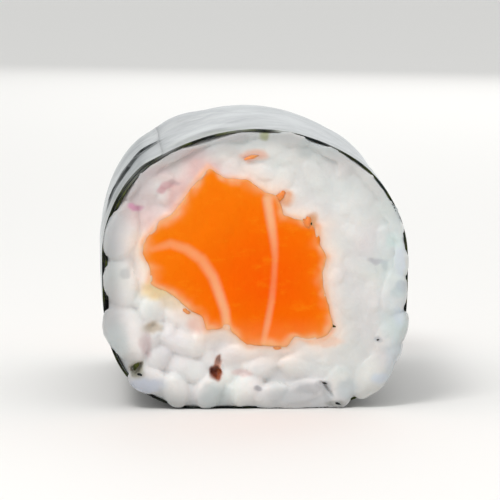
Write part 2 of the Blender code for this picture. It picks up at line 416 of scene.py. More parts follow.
@dataclass(frozen=True)
class RollForm:
    """The roll's outer form: a superellipse that has sagged, carried along Y."""

    length: float
    width: float = 28.4 * MM
    height: float = 26.4 * MM
    crown_power: float = 2.0
    base_power: float = 3.2
    power_blend: float = 3.0
    base_press: float = 0.35 * MM
    shoulders: tuple[Triple, ...] = ((141.0, 20.0, 0.50 * MM), (40.0, 17.0, 0.28 * MM))

    @property
    def half_length(self) -> float:
        """How far each cut end is from the origin."""
        return self.length / 2

    @property
    def middle(self) -> Array:
        """X and Z of the roll's middle."""
        return np.array([0.0, self.height / 2])

    def in_section(self, points: Array) -> tuple[Array, Array]:
        """X and Z of places in millimetres from the roll's middle."""
        return points[..., 0] / MM, (points[..., 2] - self.height / 2) / MM

    def at_radius(self, angle: Array, y: Array | float) -> Array:
        """Places on a round bar as wide as the roll, where noise that goes round it is read."""
        radius = self.width / 2
        return np.stack([radius * np.cos(angle), y + 0.0 * angle, radius * np.sin(angle)], axis=-1)

    def shoulder(self, angle: Array) -> Array:
        """How much fuller than the superellipse the roll is: a soft spot at each of the shoulders."""
        return sum(rise * bell(degrees_apart(angle, place), width) for place, width, rise in self.shoulders)

    def outline(self, angle: Array, inset: Array | float = 0.0) -> Array:
        """The outer face's cross-section, moved inwards.

        The radius is (|cos / half width|^p + |sin / half height|^p)^(-1/p), where p goes from the crown's
        power above to the base's power below. What would reach below the base lies flat on it.

        Args:
            angle: Angles round the roll's middle, from +X towards +Z.
            inset: How far inwards, negative for outwards.

        Returns:
            X and Z on the last axis.
        """
        low = 0.5 - 0.5 * np.tanh(self.power_blend * np.sin(angle))
        power = self.crown_power + (self.base_power - self.crown_power) * low
        half_height = self.height / 2 + self.base_press * low
        across = np.abs(np.cos(angle) / (self.width / 2)) ** power
        upright = np.abs(np.sin(angle) / half_height) ** power
        radius = (across + upright) ** (-1.0 / power) + self.shoulder(angle) - inset
        z = np.maximum(radius * np.sin(angle), np.maximum(inset, 0.0) - self.height / 2)
        return np.stack([radius * np.cos(angle), z + self.height / 2], axis=-1)

    def depth_inside(self, places: Array, inset: float = 0.0) -> Array:
        """How far places lie inside the outline along the line to the roll's middle, negative outside.

        Args:
            places: X and Z on the last axis.
            inset: How far the outline is moved inwards.

        Returns:
            Distances, one for each place.
        """
        arm = places - self.middle
        edge = self.outline(np.arctan2(arm[..., 1], arm[..., 0]), inset) - self.middle
        return np.hypot(edge[..., 0], edge[..., 1]) - np.hypot(arm[..., 0], arm[..., 1])


@dataclass(frozen=True)
class Blots:
    """Noise in a material."""

    cell: float  # its largest blots' size
    detail: float = 3.0  # how many finer layers it has
    rough: float = 0.5  # how strong those are
    squeeze: Triple = (1.0, 1.0, 1.0)  # how many times finer it is along each axis


@dataclass(frozen=True)
class Eased:
    """How a value from low to high is eased onto a stretch of its own, from to_low to to_high."""

    low: float
    high: float
    to_low: float = 0.0
    to_high: float = 1.0


class NodeBoard:
    """A material's node tree, with short ways to add its nodes and join them."""

    def __init__(self, name: str) -> None:
        """Makes a material with a Principled shader and nothing else to look at.

        Args:
            name: What the material is called.
        """
        self.material = bpy.data.materials.new(name)
        self.material.use_nodes = True
        self.tree = self.material.node_tree
        self.shader = self.tree.nodes["Principled BSDF"]

    def add(self, kind: str, **settings: object) -> bpy.types.Node:
        """Adds a node.

        Args:
            kind: Which kind.
            settings: Settings of its own, by name.

        Returns:
            The node.
        """
        node = self.tree.nodes.new(kind)
        for key, value in settings.items():
            setattr(node, key, value)
        return node

    def join(self, source: Socket, target: Socket) -> None:
        """Joins an output to an input."""
        self.tree.links.new(source, target)

    @staticmethod
    def set_sockets(node: bpy.types.Node, **values: object) -> None:
        """Sets a node's own sockets, named with _ for a space."""
        for key, value in values.items():
            node.inputs[key.replace("_", " ")].default_value = value

    def noise(self, blots: Blots) -> Socket:
        """Noise from 0 to 1 on the piece's own coordinates.

        Args:
            blots: What the noise is like.

        Returns:
            The noise's output.
        """
        node = self.add("ShaderNodeTexNoise")
        self.set_sockets(node, Scale=1.0 / blots.cell, Detail=blots.detail, Roughness=blots.rough)
        mapping = self.add("ShaderNodeMapping")
        self.set_sockets(mapping, Scale=blots.squeeze)
        self.join(self.add("ShaderNodeTexCoord").outputs["Object"], mapping.inputs["Vector"])
        self.join(mapping.outputs["Vector"], node.inputs["Vector"])
        return node.outputs["Fac"]

    def attribute(self, name: str, output: str = "Fac") -> Socket:
        """What the mesh stores at each vertex under this name."""
        return self.add("ShaderNodeAttribute", attribute_name=name).outputs[output]

    def ease(self, source: Socket, eased: Eased) -> Socket:
        """A value eased onto another stretch.

        Args:
            source: The value's output.
            eased: From what to what.

        Returns:
            The eased value's output.
        """
        node = self.add("ShaderNodeMapRange", interpolation_type="SMOOTHSTEP")
        self.set_sockets(node, From_Min=eased.low, From_Max=eased.high)
        self.set_sockets(node, To_Min=eased.to_low, To_Max=eased.to_high)
        self.join(source, node.inputs["Value"])
        return node.outputs["Result"]

    def multiply(self, first: Socket, second: Socket) -> Socket:
        """Two outputs' product."""
        node = self.add("ShaderNodeMath", operation="MULTIPLY")
        self.join(first, node.inputs[0])
        self.join(second, node.inputs[1])
        return node.outputs["Value"]

    def mix(self, share: Socket, first: object, second: object) -> Socket:
        """Two colours mixed, where each is an output or three numbers.

        Args:
            share: How much of the second.
            first: The first colour.
            second: The second colour.

        Returns:
            The mixed colour's output.
        """
        node = self.add("ShaderNodeMix", data_type="RGBA")
        self.join(share, node.inputs[0])
        for socket, colour in ((node.inputs[6], first), (node.inputs[7], second)):
            if isinstance(colour, Socket):
                self.join(colour, socket)
            else:
                socket.default_value = (*colour, 1.0)
        return node.outputs[2]

    def bump(self, height: Socket, depth: float, under: Socket | None = None) -> Socket:
        """Fine relief.

        Args:
            height: Heights from 0 to 1.
            depth: How deep it is, in metres.
            under: The output of other relief that it lies on.

        Returns:
            The relief's output.
        """
        node = self.add("ShaderNodeBump")
        self.set_sockets(node, Distance=depth)
        self.join(height, node.inputs["Height"])
        if under is not None:
            self.join(under, node.inputs["Normal"])
        return node.outputs["Normal"]

    def paint(self, colour: Socket, roughness: Socket, normal: Socket) -> Material:
        """Joins three outputs to the shader.

        Args:
            colour: For its colour.
            roughness: For its roughness.
            normal: For its relief.

        Returns:
            The material.
        """
        self.join(colour, self.shader.inputs["Base Color"])
        self.join(roughness, self.shader.inputs["Roughness"])
        self.join(normal, self.shader.inputs["Normal"])
        return self.material


@dataclass(frozen=True)
class NoriFinish:
    """Moist nori: nearly black green, olive where it is thin, with a sheen that whitens at a low angle."""

    dark: Colour = (0.0022, 0.0032, 0.0028)
    slate: Colour = (0.019, 0.025, 0.024)
    olive: Colour = (0.060, 0.070, 0.012)
    leaf: Colour = (0.135, 0.170, 0.022)
    rust: Colour = (0.060, 0.016, 0.008)
    speck: Colour = (0.075, 0.095, 0.092)
    starch: Colour = (0.50, 0.51, 0.50)
    ior: float = 1.10
    coat_ior: float = 1.12
    coat_roughness: float = 0.20
    sheen: float = 0.60
    sheen_roughness: float = 0.28
    sheen_tint: Colour = (0.92, 0.97, 1.0)
    broad: Blots = Blots(6 * MM, 4.0, 0.6)
    broad_slate: Eased = Eased(0.36, 0.64)
    broad_roughness: Eased = Eased(0.35, 0.7, 0.30, 0.52)
    mottle: Blots = Blots(1.7 * MM, 6.0, 0.70)
    mottle_dark: Eased = Eased(0.42, 0.56, 0.0, 0.85)
    fibres: Blots = Blots(0.8 * MM, 6.0, 0.68, (1.0, 0.22, 1.0))
    fibres_slate: Eased = Eased(0.48, 0.64, 0.0, 0.75)
    pale_specks: Blots = Blots(0.55 * MM, 3.0, 0.6)
    pale_shown: Eased = Eased(0.66, 0.76, 0.0, 0.75)
    thin_patches: Blots = Blots(2.4 * MM, 6.0, 0.70)
    thin_olive: Eased = Eased(0.42, 0.60)
    bright_patches: Blots = Blots(1.3 * MM, 6.0, 0.72)
    bright_leaf: Eased = Eased(0.50, 0.66)
    rust_specks: Blots = Blots(1.2 * MM, 3.0, 0.6)
    rust_shown: Eased = Eased(0.68, 0.78, 0.0, 0.8)
    pulp: Blots = Blots(0.25 * MM, 4.0, 0.6, (1.0, 0.5, 1.0))
    pulp_depth: float = 0.008 * MM
    ripples: Blots = Blots(0.8 * MM, 2.0, 0.5, (1.0, 0.14, 1.0))
    ripple_depth: float = 0.020 * MM
    dents: Blots = Blots(1.5 * MM, 3.0, 0.55)
    dent_depth: float = 0.055 * MM

    def material(self) -> Material:
        """The finish as a material: its colours laid over one another from dark to starch, then its relief.

        Returns:
            The material.
        """
        board = NodeBoard("moist_nori")
        board.set_sockets(
            board.shader,
            IOR=self.ior,
            Coat_Weight=1.0,
            Coat_IOR=self.coat_ior,
            Coat_Roughness=self.coat_roughness,
            Sheen_Weight=self.sheen,
            Sheen_Roughness=self.sheen_roughness,
            Sheen_Tint=(*self.sheen_tint, 1.0),
        )
        broad = board.noise(self.broad)
        fibres = board.noise(self.fibres)
        pulp = board.noise(self.pulp)
        mottle = board.noise(self.mottle)
        base = board.mix(board.ease(broad, self.broad_slate), self.dark, self.slate)
        base = board.mix(board.ease(mottle, self.mottle_dark), base, self.dark)
        base = board.mix(board.ease(fibres, self.fibres_slate), base, self.slate)
        pale = board.ease(board.noise(self.pale_specks), self.pale_shown)
        base = board.mix(pale, base, self.speck)
        thin = board.attribute("thin")
        patches = board.multiply(thin, board.ease(board.noise(self.thin_patches), self.thin_olive))
        base = board.mix(patches, base, self.olive)
        leafy = board.ease(board.noise(self.bright_patches), self.bright_leaf)
        base = board.mix(board.multiply(patches, leafy), base, self.leaf)
        rusty = board.ease(board.noise(self.rust_specks), self.rust_shown)
        base = board.mix(rusty, base, self.rust)
        base = board.mix(board.attribute("starch"), base, self.starch)
        roughness = board.ease(broad, self.broad_roughness)
        normal = board.bump(board.noise(self.ripples), self.ripple_depth)
        normal = board.bump(board.noise(self.dents), self.dent_depth, normal)
        return board.paint(base, roughness, board.bump(pulp, self.pulp_depth, normal))


@dataclass(frozen=True)
class RiceFinish:
    """Boiled rice: white and a little clear, so light goes in and comes out softened, and moist on top."""

    scatter: Colour = (1.0, 0.86, 0.78)
    scatter_depth: float = 0.55 * MM
    scatter_weight: float = 0.75
    ior: float = 1.33
    starch: Blots = Blots(1.1 * MM, 3.0, 0.55)
    starch_colour: Colour = (0.50, 0.51, 0.52)
    starch_shown: Eased = Eased(0.35, 0.68, 0.0, 0.10)
    starch_roughness: Eased = Eased(0.3, 0.7, 0.26, 0.48)
    fine: Blots = Blots(0.3 * MM, 3.0, 0.6)
    fine_depth: float = 0.035 * MM

    def material(self) -> Material:
        """The finish as a material.

        Returns:
            The material.
        """
        board = NodeBoard("boiled_rice")
        board.set_sockets(
            board.shader,
            IOR=self.ior,
            Subsurface_Weight=self.scatter_weight,
            Subsurface_Radius=self.scatter,
            Subsurface_Scale=self.scatter_depth,
        )
        starch = board.noise(self.starch)
        fine = board.noise(self.fine)
        # The stored vertex colour is the rice's colour with painted shade and painted light in it.
        own = board.attribute("rice_colour_and_painted_shade", "Color")
        shaded = board.mix(board.ease(starch, self.starch_shown), own, self.starch_colour)
        roughness = board.ease(starch, self.starch_roughness)
        return board.paint(shaded, roughness, board.bump(fine, self.fine_depth))


@dataclass(frozen=True)
class SalmonFinish:
    """Raw salmon: deep orange flesh that lets light through, with pale lines of fat, and moist."""

    deep: Colour = (0.975, 0.096, 0.0007)
    flesh: Colour = (0.980, 0.168, 0.0012)
    bright: Colour = (0.990, 0.245, 0.006)
    faded: Colour = (1.00, 0.42, 0.20)
    fat: Colour = (1.00, 0.50, 0.27)
    scatter: Colour = (1.0, 0.30, 0.10)
    scatter_depth: float = 0.8 * MM
    scatter_weight: float = 0.5
    ior: float = 1.25
    shine: Colour = (1.0, 0.50, 0.08)
    broad: Blots = Blots(5 * MM, 3.0, 0.5)
    broad_deep: Eased = Eased(0.25, 0.60, 1.0, 0.65)
    veins: Blots = Blots(1.6 * MM, 5.0, 0.65, (0.8, 0.35, 1.6))
    veins_bright: Eased = Eased(0.52, 0.72, 0.0, 0.50)
    grain: Blots = Blots(0.5 * MM, 4.0, 0.6, (1.0, 0.5, 0.55))
    grain_bright: Eased = Eased(0.55, 0.80, 0.0, 0.25)
    grain_roughness: Eased = Eased(0.3, 0.7, 0.24, 0.40)
    grain_depth: float = 0.03 * MM

    def material(self) -> Material:
        """The finish as a material.

        Returns:
            The material.
        """
        board = NodeBoard("raw_salmon")
        board.set_sockets(
            board.shader,
            IOR=self.ior,
            Specular_Tint=(*self.shine, 1.0),
            Subsurface_Weight=self.scatter_weight,
            Subsurface_Radius=self.scatter,
            Subsurface_Scale=self.scatter_depth,
        )
        broad = board.noise(self.broad)
        grain = board.noise(self.grain)
        veins = board.noise(self.veins)
        middle = board.multiply(board.attribute("deep"), board.ease(broad, self.broad_deep))
        colour = board.mix(middle, self.flesh, self.deep)
        colour = board.mix(board.ease(veins, self.veins_bright), colour, self.bright)
        colour = board.mix(board.ease(grain, self.grain_bright), colour, self.bright)
        colour = board.mix(board.attribute("light"), colour, self.bright)
        colour = board.mix(board.attribute("pale"), colour, self.faded)
        colour = board.mix(board.attribute("fat"), colour, self.fat)
        roughness = board.ease(grain, self.grain_roughness)
        return board.paint(colour, roughness, board.bump(grain, self.grain_depth))


# The salmon
# ----------


@dataclass
class SalmonStrip:
    """The strip of raw salmon down the middle, cut unevenly, with lines of fat that run through it."""

    form: RollForm
    corners_mm: tuple[Pair, ...] = (
        (-4.5, 9.8), (-3.1, 8.6), (-0.9, 8.4), (0.9, 7.2), (2.0, 6.9), (2.5, 5.1), (4.2, 4.7), (5.8, 4.0),
        (5.9, 2.3), (6.6, 1.2), (6.2, -0.4), (6.4, -2.0), (7.2, -5.5), (6.6, -6.4), (5.0, -6.9), (3.7, -6.4),
        (2.8, -7.3), (0.8, -7.2), (-0.9, -7.2), (-2.8, -5.4), (-4.8, -5.8), (-5.2, -4.4), (-6.4, -3.8),
        (-7.9, -2.3), (-10.1, -1.3), (-10.0, 0.3), (-10.7, 1.5), (-10.8, 2.7), (-9.2, 4.6), (-7.8, 5.4),
        (-6.1, 7.8),
    )  # fmt: skip
    hub_mm: Pair = (-1.5, 0.5)  # all of the outline is in sight from here
    twist: float = math.radians(9)
    taper: float = 0.07
    proud: float = 0.02 * MM
    corner_softness: float = math.radians(1.3)
    edge_round: float = 0.08 * MM
    # X and Z at places along each line of fat, how pale it is there, and its half width.
    fat_lines_mm: tuple[tuple[tuple[float, ...], ...], ...] = (
        (
            (-9.8, 2.0, 0.30, 0.26), (-8.1, 2.5, 0.45, 0.36), (-6.6, 2.0, 0.50, 0.42),
            (-5.2, 1.0, 0.55, 0.44), (-4.1, -0.7, 0.65, 0.42), (-3.5, -2.4, 0.80, 0.40),
            (-3.0, -3.9, 0.85, 0.38), (-2.8, -5.8, 0.80, 0.34),
        ),
        (
            (1.0, 6.6, 1.0, 0.40), (1.3, 4.6, 0.90, 0.38), (1.6, 2.5, 0.60, 0.32), (1.7, 1.2, 0.38, 0.24),
            (1.6, -0.7, 0.30, 0.24), (1.4, -2.8, 0.42, 0.27), (1.0, -5.0, 0.58, 0.28),
            (0.6, -6.9, 0.50, 0.24),
        ),
    )  # fmt: skip
    fat_fade: Fade = Fade(1.0, 1.75, -1.5)  # over distances in the line's own half widths
    groove: float = 0.10 * MM
    face_waves: tuple[Waves, ...] = (Waves(0.10 * MM, 2.4 * MM, 5), Waves(0.035 * MM, 0.7 * MM, 6))
    side_waves: Waves = Waves(0.13 * MM, (0.9 * MM, 6.0 * MM, 0.9 * MM), 9, 2)
    side_waves_power: int = 6  # how suddenly they set in towards the face's edge
    deep_middle_mm: Pair = (1.2, -1.0)
    deep_squeeze: float = 0.9
    deep_reach_mm: float = 3.9
    upper_left_light: Fade = Fade(0.38, 2.5, 9.0)
    lower_right_light: Fade = Fade(0.60, 9.0, 4.5)
    edge_light: Halo = Halo(0.45, 1.2 * MM)
    usual_paleness: float = 0.78
    ragged_paleness: Waves = Waves(0.75, 1.1 * MM, 8, 2)
    pale_reach_mm: Pair = (0.39, 0.24)
    low_paleness: Fade = Fade(0.14, 4.2, 2.5)
    steps_round: int = 420
    face_rings: int = 62
    ring_power: float = 0.8
    side_rings: int = 16
    edge_samples: int = 24
    outline_steps: int = 1440
    softening_steps: int = 40
    angles: Array = field(init=False)
    reach: Array = field(init=False)

    def __post_init__(self) -> None:
        """Works out how far the outline is from the hub at even angles, with its corners softened."""
        corners = np.array(self.corners_mm) * MM
        share = np.linspace(0.0, 1.0, self.edge_samples, endpoint=False)[:, None]
        edges = corners[:, None] + share * (np.roll(corners, -1, axis=0) - corners)[:, None]
        self.angles = np.linspace(-math.pi, math.pi, self.outline_steps, endpoint=False)
        sharp = ray_reach(edges.reshape(-1, 2), self.hub, self.angles)
        offsets = np.arange(-self.softening_steps, self.softening_steps + 1)
        weights = bell(offsets * FULL_TURN / self.outline_steps, self.corner_softness)
        self.reach = sum(w * np.roll(sharp, k) for w, k in zip(weights / weights.sum(), offsets))

    @property
    def hub(self) -> Array:
        """X and Z of the hub from the roll's middle."""
        return np.array(self.hub_mm) * MM

    def turn_and_scale(self, y: Array) -> tuple[Array, Array]:
        """How far the section has turned, and how much of its size is left, at places along the roll."""
        share = y / self.form.length + 0.5
        return self.twist * share, 1.0 - self.taper * share

    def placed(self, flat: Array, y: Array) -> Array:
        """Where places of the untwisted section lie at a place along the roll: turned, shrunk and raised.

        Args:
            flat: X and Z from the roll's middle, on the last axis.
            y: Places along the roll.

        Returns:
            The places.
        """
        turn, scale = self.turn_and_scale(y)
        x = scale * (np.cos(turn) * flat[..., 0] - np.sin(turn) * flat[..., 1])
        z = scale * (np.sin(turn) * flat[..., 0] + np.cos(turn) * flat[..., 1])
        return np.stack([x, y + 0.0 * x, z + self.form.height / 2], axis=-1)

    def flattened(self, points: Array) -> Array:
        """The untwisted section's X and Z of places in the roll, the reverse of placed.

        Args:
            points: The places.

        Returns:
            X and Z from the roll's middle, on the last axis.
        """
        turn, scale = self.turn_and_scale(points[..., 1])
        x, z = points[..., 0], points[..., 2] - self.form.height / 2
        back = (np.cos(turn) * x + np.sin(turn) * z, np.cos(turn) * z - np.sin(turn) * x)
        return np.stack(back, axis=-1) / scale[..., None]

    def outline_reach(self, angle: Array) -> Array:
        """How far the untwisted outline is from the hub at these angles."""
        return np.interp(angle, self.angles, self.reach, period=FULL_TURN)

    def gap_to(self, points: Array) -> Array:
        """How far places lie outside the salmon, along rays from its hub, negative inside."""
        arm = self.flattened(points) - self.hub
        return np.hypot(arm[..., 0], arm[..., 1]) - self.outline_reach(np.arctan2(arm[..., 1], arm[..., 0]))

    def pushed_out(self, points: Array, gap: Array) -> Array:
        """Places moved along rays from the hub until they are far enough outside the salmon.

        Args:
            points: The places.
            gap: How far outside each has to be, negative for inside.

        Returns:
            The moved places.
        """
        arm = self.flattened(points) - self.hub
        radius = np.hypot(arm[..., 0], arm[..., 1])
        wanted = np.maximum(radius, self.outline_reach(np.arctan2(arm[..., 1], arm[..., 0])) + gap)
        moved = self.placed(self.hub + arm * (wanted / np.maximum(radius, 1e-9))[..., None], points[..., 1])
        return np.where((wanted > radius)[..., None], moved, points)

    def fat_at(self, flat: Array) -> Array:
        """How much a place is fat: each line's own paleness on its middle, eased to 0 at its edge.

        Args:
            flat: X and Z of the untwisted section.

        Returns:
            Shares from 0 to 1.
        """
        shares = []
        for rows in self.fat_lines_mm:
            x, z, paleness, half_width = np.array(rows).T
            gap, along = distance_to_line(flat, np.stack([x, z], axis=-1) * MM)
            steps = np.linspace(0.0, 1.0, len(rows))
            reach = np.interp(along, steps, half_width) * MM
            shares.append(self.fat_fade.at(gap / reach) * np.interp(along, steps, paleness))
        return np.maximum(*shares)

    def flesh_at(self, points: Array) -> dict[str, Array]:
        """What the finish reads at each place, from 0 to 1, by name.

        It is fat along its two lines, deep in a soft oval a little below the middle, light towards its upper
        left and lower right corners and along its edge, and pale at its cut edge and a little low down.

        Args:
            points: The places.

        Returns:
            The four kinds of shares.
        """
        flat = self.flattened(points)
        x, z = np.moveaxis(flat / MM, -1, 0)
        inside = np.maximum(-self.gap_to(points), 0.0)
        off_x, off_z = self.deep_squeeze * (x - self.deep_middle_mm[0]), z - self.deep_middle_mm[1]
        light = self.upper_left_light.at(z - x) + self.lower_right_light.at(x - z)
        ragged = self.usual_paleness + self.ragged_paleness.at(points)
        least, more = self.pale_reach_mm
        pale = bell(inside, (least + more * ragged) * MM) * ragged + self.low_paleness.at(-z)
        return {
            "fat": self.fat_at(flat),
            "pale": np.clip(pale, 0.0, 1.0),
            "deep": bell(np.hypot(off_x, off_z), self.deep_reach_mm),
            "light": np.clip(light + self.edge_light.at(inside), 0.0, 1.0),
        }

    def rings(self, end: float) -> Array:
        """The strip's surface: its two faces and the side between them.

        Its two parameters are the angle round the hub and a path that runs from the middle of the shown face
        out to its edge, along the strip, and in to the middle of the far face. Near each edge the face rounds
        off by a quarter circle, and along the lines of fat it sinks a little.

        Args:
            end: How far each face is from the origin.

        Returns:
            The places, as rings on the first axis.
        """
        angle = np.linspace(-math.pi, math.pi, self.steps_round, endpoint=False)
        edge = self.outline_reach(angle)
        out = np.linspace(0.0, 1.0, self.face_rings + 1)[1:] ** self.ring_power
        along = np.linspace(-1.0, 1.0, self.side_rings + 2)[1:-1] * (end - self.edge_round)
        face = self.hub + (edge * out[:, None])[..., None] * np.stack([np.cos(angle), np.sin(angle)], axis=-1)
        sunk = np.clip(1.0 - edge * (1.0 - out[:, None]) / self.edge_round, 0.0, 1.0)
        drop = self.edge_round * (1.0 - np.sqrt(1.0 - sunk**2)) + self.groove * self.fat_at(face)
        faces = []
        for side in (-1.0, 1.0):
            at = np.stack([face[..., 0], np.full_like(drop, side * end), face[..., 1]], axis=-1)
            soft = sum(layer.at(at) for layer in self.face_waves)
            faces.append(self.placed(face, side * (end - drop + soft)))
        rim = np.repeat(face[-1:], self.side_rings, axis=0)
        sides = self.placed(rim, np.broadcast_to(along[:, None], rim.shape[:-1]))
        rings = np.concatenate([faces[0], sides, faces[1][::-1]])
        outward = rings - rings.mean(axis=1, keepdims=True)
        outward[..., 1] = 0.0
        outward /= np.linalg.norm(outward, axis=-1, keepdims=True)
        near_edge = out**self.side_waves_power
        strength = np.concatenate([near_edge, np.ones(self.side_rings), near_edge[::-1]])
        return rings + outward * (self.side_waves.at(rings) * strength[:, None])[..., None]

    def build(self, finish: SalmonFinish) -> Piece:
        """The whole strip as one closed surface.

        Args:
            finish: What it is dressed in.

        Returns:
            The piece.
        """
        end = self.form.half_length + self.proud
        rings = self.rings(end)
        poles = self.placed(np.stack([self.hub, self.hub]), np.array([-end, end]))
        points = np.concatenate([rings.reshape(-1, 3), poles])
        ring, count = np.arange(self.steps_round), len(points) - 2
        shown_fan = pole_fan(ring, count)[:, [1, 0, 2]]
        far_fan = pole_fan(ring + count - self.steps_round, count + 1)
        quads = grid_quads(len(rings), self.steps_round, wrap_columns=True)
        mesh = make_mesh("salmon", points, quads, shown_fan, far_fan)
        for share, values in self.flesh_at(points).items():
            set_share(mesh, share, values)
        piece = add_piece(mesh, finish.material())
        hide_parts("salmon_strip")
        return piece


# The nori
# --------


@dataclass
class NoriSheet:
    """The sheet of nori rolled round the rice, its free edge lying on the overlap at the upper left."""

    form: RollForm
    thickness: float = 0.20 * MM
    layer_gap: float = 0.10 * MM
    free_edge: float = math.radians(129)
    overlap: float = math.radians(62)
    edge_width: float = math.radians(10)
    edge_thinness: float = 0.16
    edge_cling: float = 0.1  # how much of the gap between the layers is left under the free edge
    lift_blend: float = math.radians(44)
    lump_height: float = 0.30 * MM
    lumps: Waves = Waves(0.5, (5.5 * MM, 11.0 * MM, 5.5 * MM), 37, 2)
    lump_fade: float = 4.0 * MM
    far_shoulder: Triple = (123.0, 13.0, 0.55 * MM)
    far_shoulder_fade: float = 3.0 * MM
    bump_height: float = 0.045 * MM
    bumps: Waves = Waves(1.0, (2.0 * MM, 5.0 * MM, 2.0 * MM), 31)
    usual_bump: float = 0.25
    ripples: Waves = Waves(0.008 * MM, (0.9 * MM, 2.2 * MM, 0.9 * MM), 32, 2)
    crease_depth: float = 0.03 * MM
    crease_lines: Waves = Waves(1.0, (2.6 * MM, 11.0 * MM, 2.6 * MM), 33)
    crease_power: int = 14
    fine_at_end: float = 0.35
    fine_fade: float = 2.5 * MM
    ragged: float = 0.10 * MM
    ragged_waves: Waves = Waves(1.0, 1.6 * MM, 34, 2)
    ragged_length_mm: float = 90.0
    ragged_power: int = 12
    fold_line: tuple[Pair, ...] = (
        (162.0, 4.0), (152.0, 6.5), (145.0, 8.5), (132.0, 11.5), (125.0, 13.2),
    )  # fmt: skip
    fold_mm_a_degree: float = 0.25
    fold_height: float = 0.33 * MM
    fold_step: Fade = Fade(1.0, -0.35, 0.75)
    fold_fade_mm: float = 3.6
    fold_reach_mm: float = 12.0
    fold_taper: float = 0.25
    thin_at_ends: float = 0.80
    thin_reach: float = 7.0 * MM
    thin_stretches: Waves = Waves(1.3, 12.0 * MM, 36)
    thin_patches: Waves = Waves(0.55, 6.0 * MM, 35)
    thin_floor: float = 0.18
    thin_length_mm: float = 100.0
    smears_deg: tuple[Triple, ...] = (
        (79.5, 3.5, 0.8), (97.0, 6.0, 0.30), (58.0, 2.5, 0.30), (127.0, 4.5, 0.32), (142.0, 6.0, 0.22),
    )  # fmt: skip
    smear_reach: float = 0.5 * MM
    steps_round: int = 380
    steps_along: int = 104

    def relief(self, angle: Array, y: Array) -> Array:
        """How far the sheet stands out over the rice, clear of the base.

        It is the sum of broad soft lumps, rounded bumps of about a grain's size, narrow creases along the
        roll (one minus the size of a stretched noise, to a high power), a fuller place near the far end, and
        the fold.

        Args:
            angle: Angles round the roll.
            y: Places along it.

        Returns:
            Distances outwards.
        """
        from_end = self.form.half_length - np.abs(y)
        clear_of_base = ramp(np.sin(angle), -0.9, 1.0)
        at = self.form.at_radius(angle, y)
        broad = self.lump_height * (0.5 + self.lumps.at(at)) * smoothstep(from_end / self.lump_fade)
        grains = self.bump_height * (np.abs(self.bumps.at(at)) - self.usual_bump) + self.ripples.at(at)
        creases = self.crease_depth * (1.0 - np.abs(self.crease_lines.at(at))) ** self.crease_power
        inwards = smoothstep(from_end / self.fine_fade)
        fine = (grains + creases) * (self.fine_at_end + (1.0 - self.fine_at_end) * inwards)
        place, width, rise = self.far_shoulder
        fuller = rise * bell(degrees_apart(angle, place), width) * ramp(y / self.form.length, -0.3, 1.0)
        fuller = fuller * smoothstep(from_end / self.far_shoulder_fade)
        return (broad + fine + fuller + self.fold(angle, y)) * clear_of_base

    def fold(self, angle: Array, y: Array) -> Array:
        """A fold across the sheet near the shown end: it steps up steeply behind a line, and dies away.

        Args:
            angle: Angles round the roll.
            y: Places along it.

        Returns:
            Distances outwards.
        """
        turned = np.degrees(np.mod(angle, FULL_TURN)) * self.fold_mm_a_degree
        places = np.stack([turned, (y + self.form.half_length) / MM], axis=-1)
        line = np.array([(turn * self.fold_mm_a_degree, depth) for turn, depth in self.fold_line])
        gap, along = distance_to_line(places, line)
        nearest = np.interp(along, np.linspace(0.0, 1.0, len(line)), line[:, 1])
        behind = np.where(places[..., 1] > nearest, 1.0, -1.0) * gap
        step = self.fold_step.at(behind) * np.exp(-np.maximum(behind, 0.0) / self.fold_fade_mm)
        strength = smoothstep(np.minimum(along, 1.0 - along) / self.fold_taper) * (gap < self.fold_reach_mm)
        return self.fold_height * step * strength

    def from_free_edge(self, angle: Array) -> Array:
        """Eased from 0 at the free edge to 1 where the sheet has its whole thickness."""
        return smoothstep((angle - self.free_edge) / self.edge_width)

    def angle_of(self, share: Array) -> Array:
        """The angle of places on the flat sheet, past a whole turn at its hidden inner edge."""
        inner_edge = self.free_edge + FULL_TURN + self.overlap
        return inner_edge + (self.free_edge - inner_edge) * share

    def rolled(self, share: Array, y: Array) -> Array:
        """Where a place on the flat sheet lies once it is rolled up: the outline, lifted over the overlap.

        The lift eases down where the layer beneath ends, and the free edge thins and clings to that layer.

        Args:
            share: From 0 at the hidden inner edge to 1 at the free edge.
            y: Places along the roll.

        Returns:
            The places.
        """
        angle = self.angle_of(share)
        past_inner_edge = (angle - self.free_edge - self.overlap) / self.lift_blend
        whole = self.from_free_edge(angle)
        layer = self.thickness * (self.edge_thinness + (1.0 - self.edge_thinness) * whole)
        gap = self.layer_gap * (self.edge_cling + (1.0 - self.edge_cling) * whole)
        lift = (layer + gap) * (1.0 - smoothstep(past_inner_edge))
        section = self.form.outline(angle, -(lift + self.relief(angle, y)))
        return np.stack([section[..., 0], y, section[..., 1]], axis=-1)

    def thin_at(self, share: Array, y: Array) -> Array:
        """How thin the sheet is: in stretches of both ends, and in a few patches anywhere.

        Args:
            share: From 0 at the hidden inner edge to 1 at the free edge.
            y: Places along the roll.

        Returns:
            Shares from 0 to 1.
        """
        flat = np.stack([share * self.thin_length_mm * MM, y, 0 * share], axis=-1)
        near_end = smoothstep(1.0 - (self.form.half_length - np.abs(y)) / self.thin_reach)
        each_end = flat * np.array([1.0, 0.25, 1.0]) + np.sign(y)[..., None] * 0.02
        stretches = smoothstep(0.5 + self.thin_stretches.at(each_end))
        patches = self.thin_patches.at(flat) - self.thin_floor
        return smoothstep(self.thin_at_ends * near_end * stretches + patches)

    def starch_at(self, points: Array) -> Array:
        """How much starch is smeared over the sheet: a few soft places on its shown edge.

        Args:
            points: The places.

        Returns:
            Shares from 0 to 1.
        """
        turned = np.arctan2(points[..., 2] - self.form.height / 2, points[..., 0])
        smears = [most * bell(degrees_apart(turned, at), width) for at, width, most in self.smears_deg]
        return sum(smears) * bell(points[..., 1] + self.form.half_length, self.smear_reach)

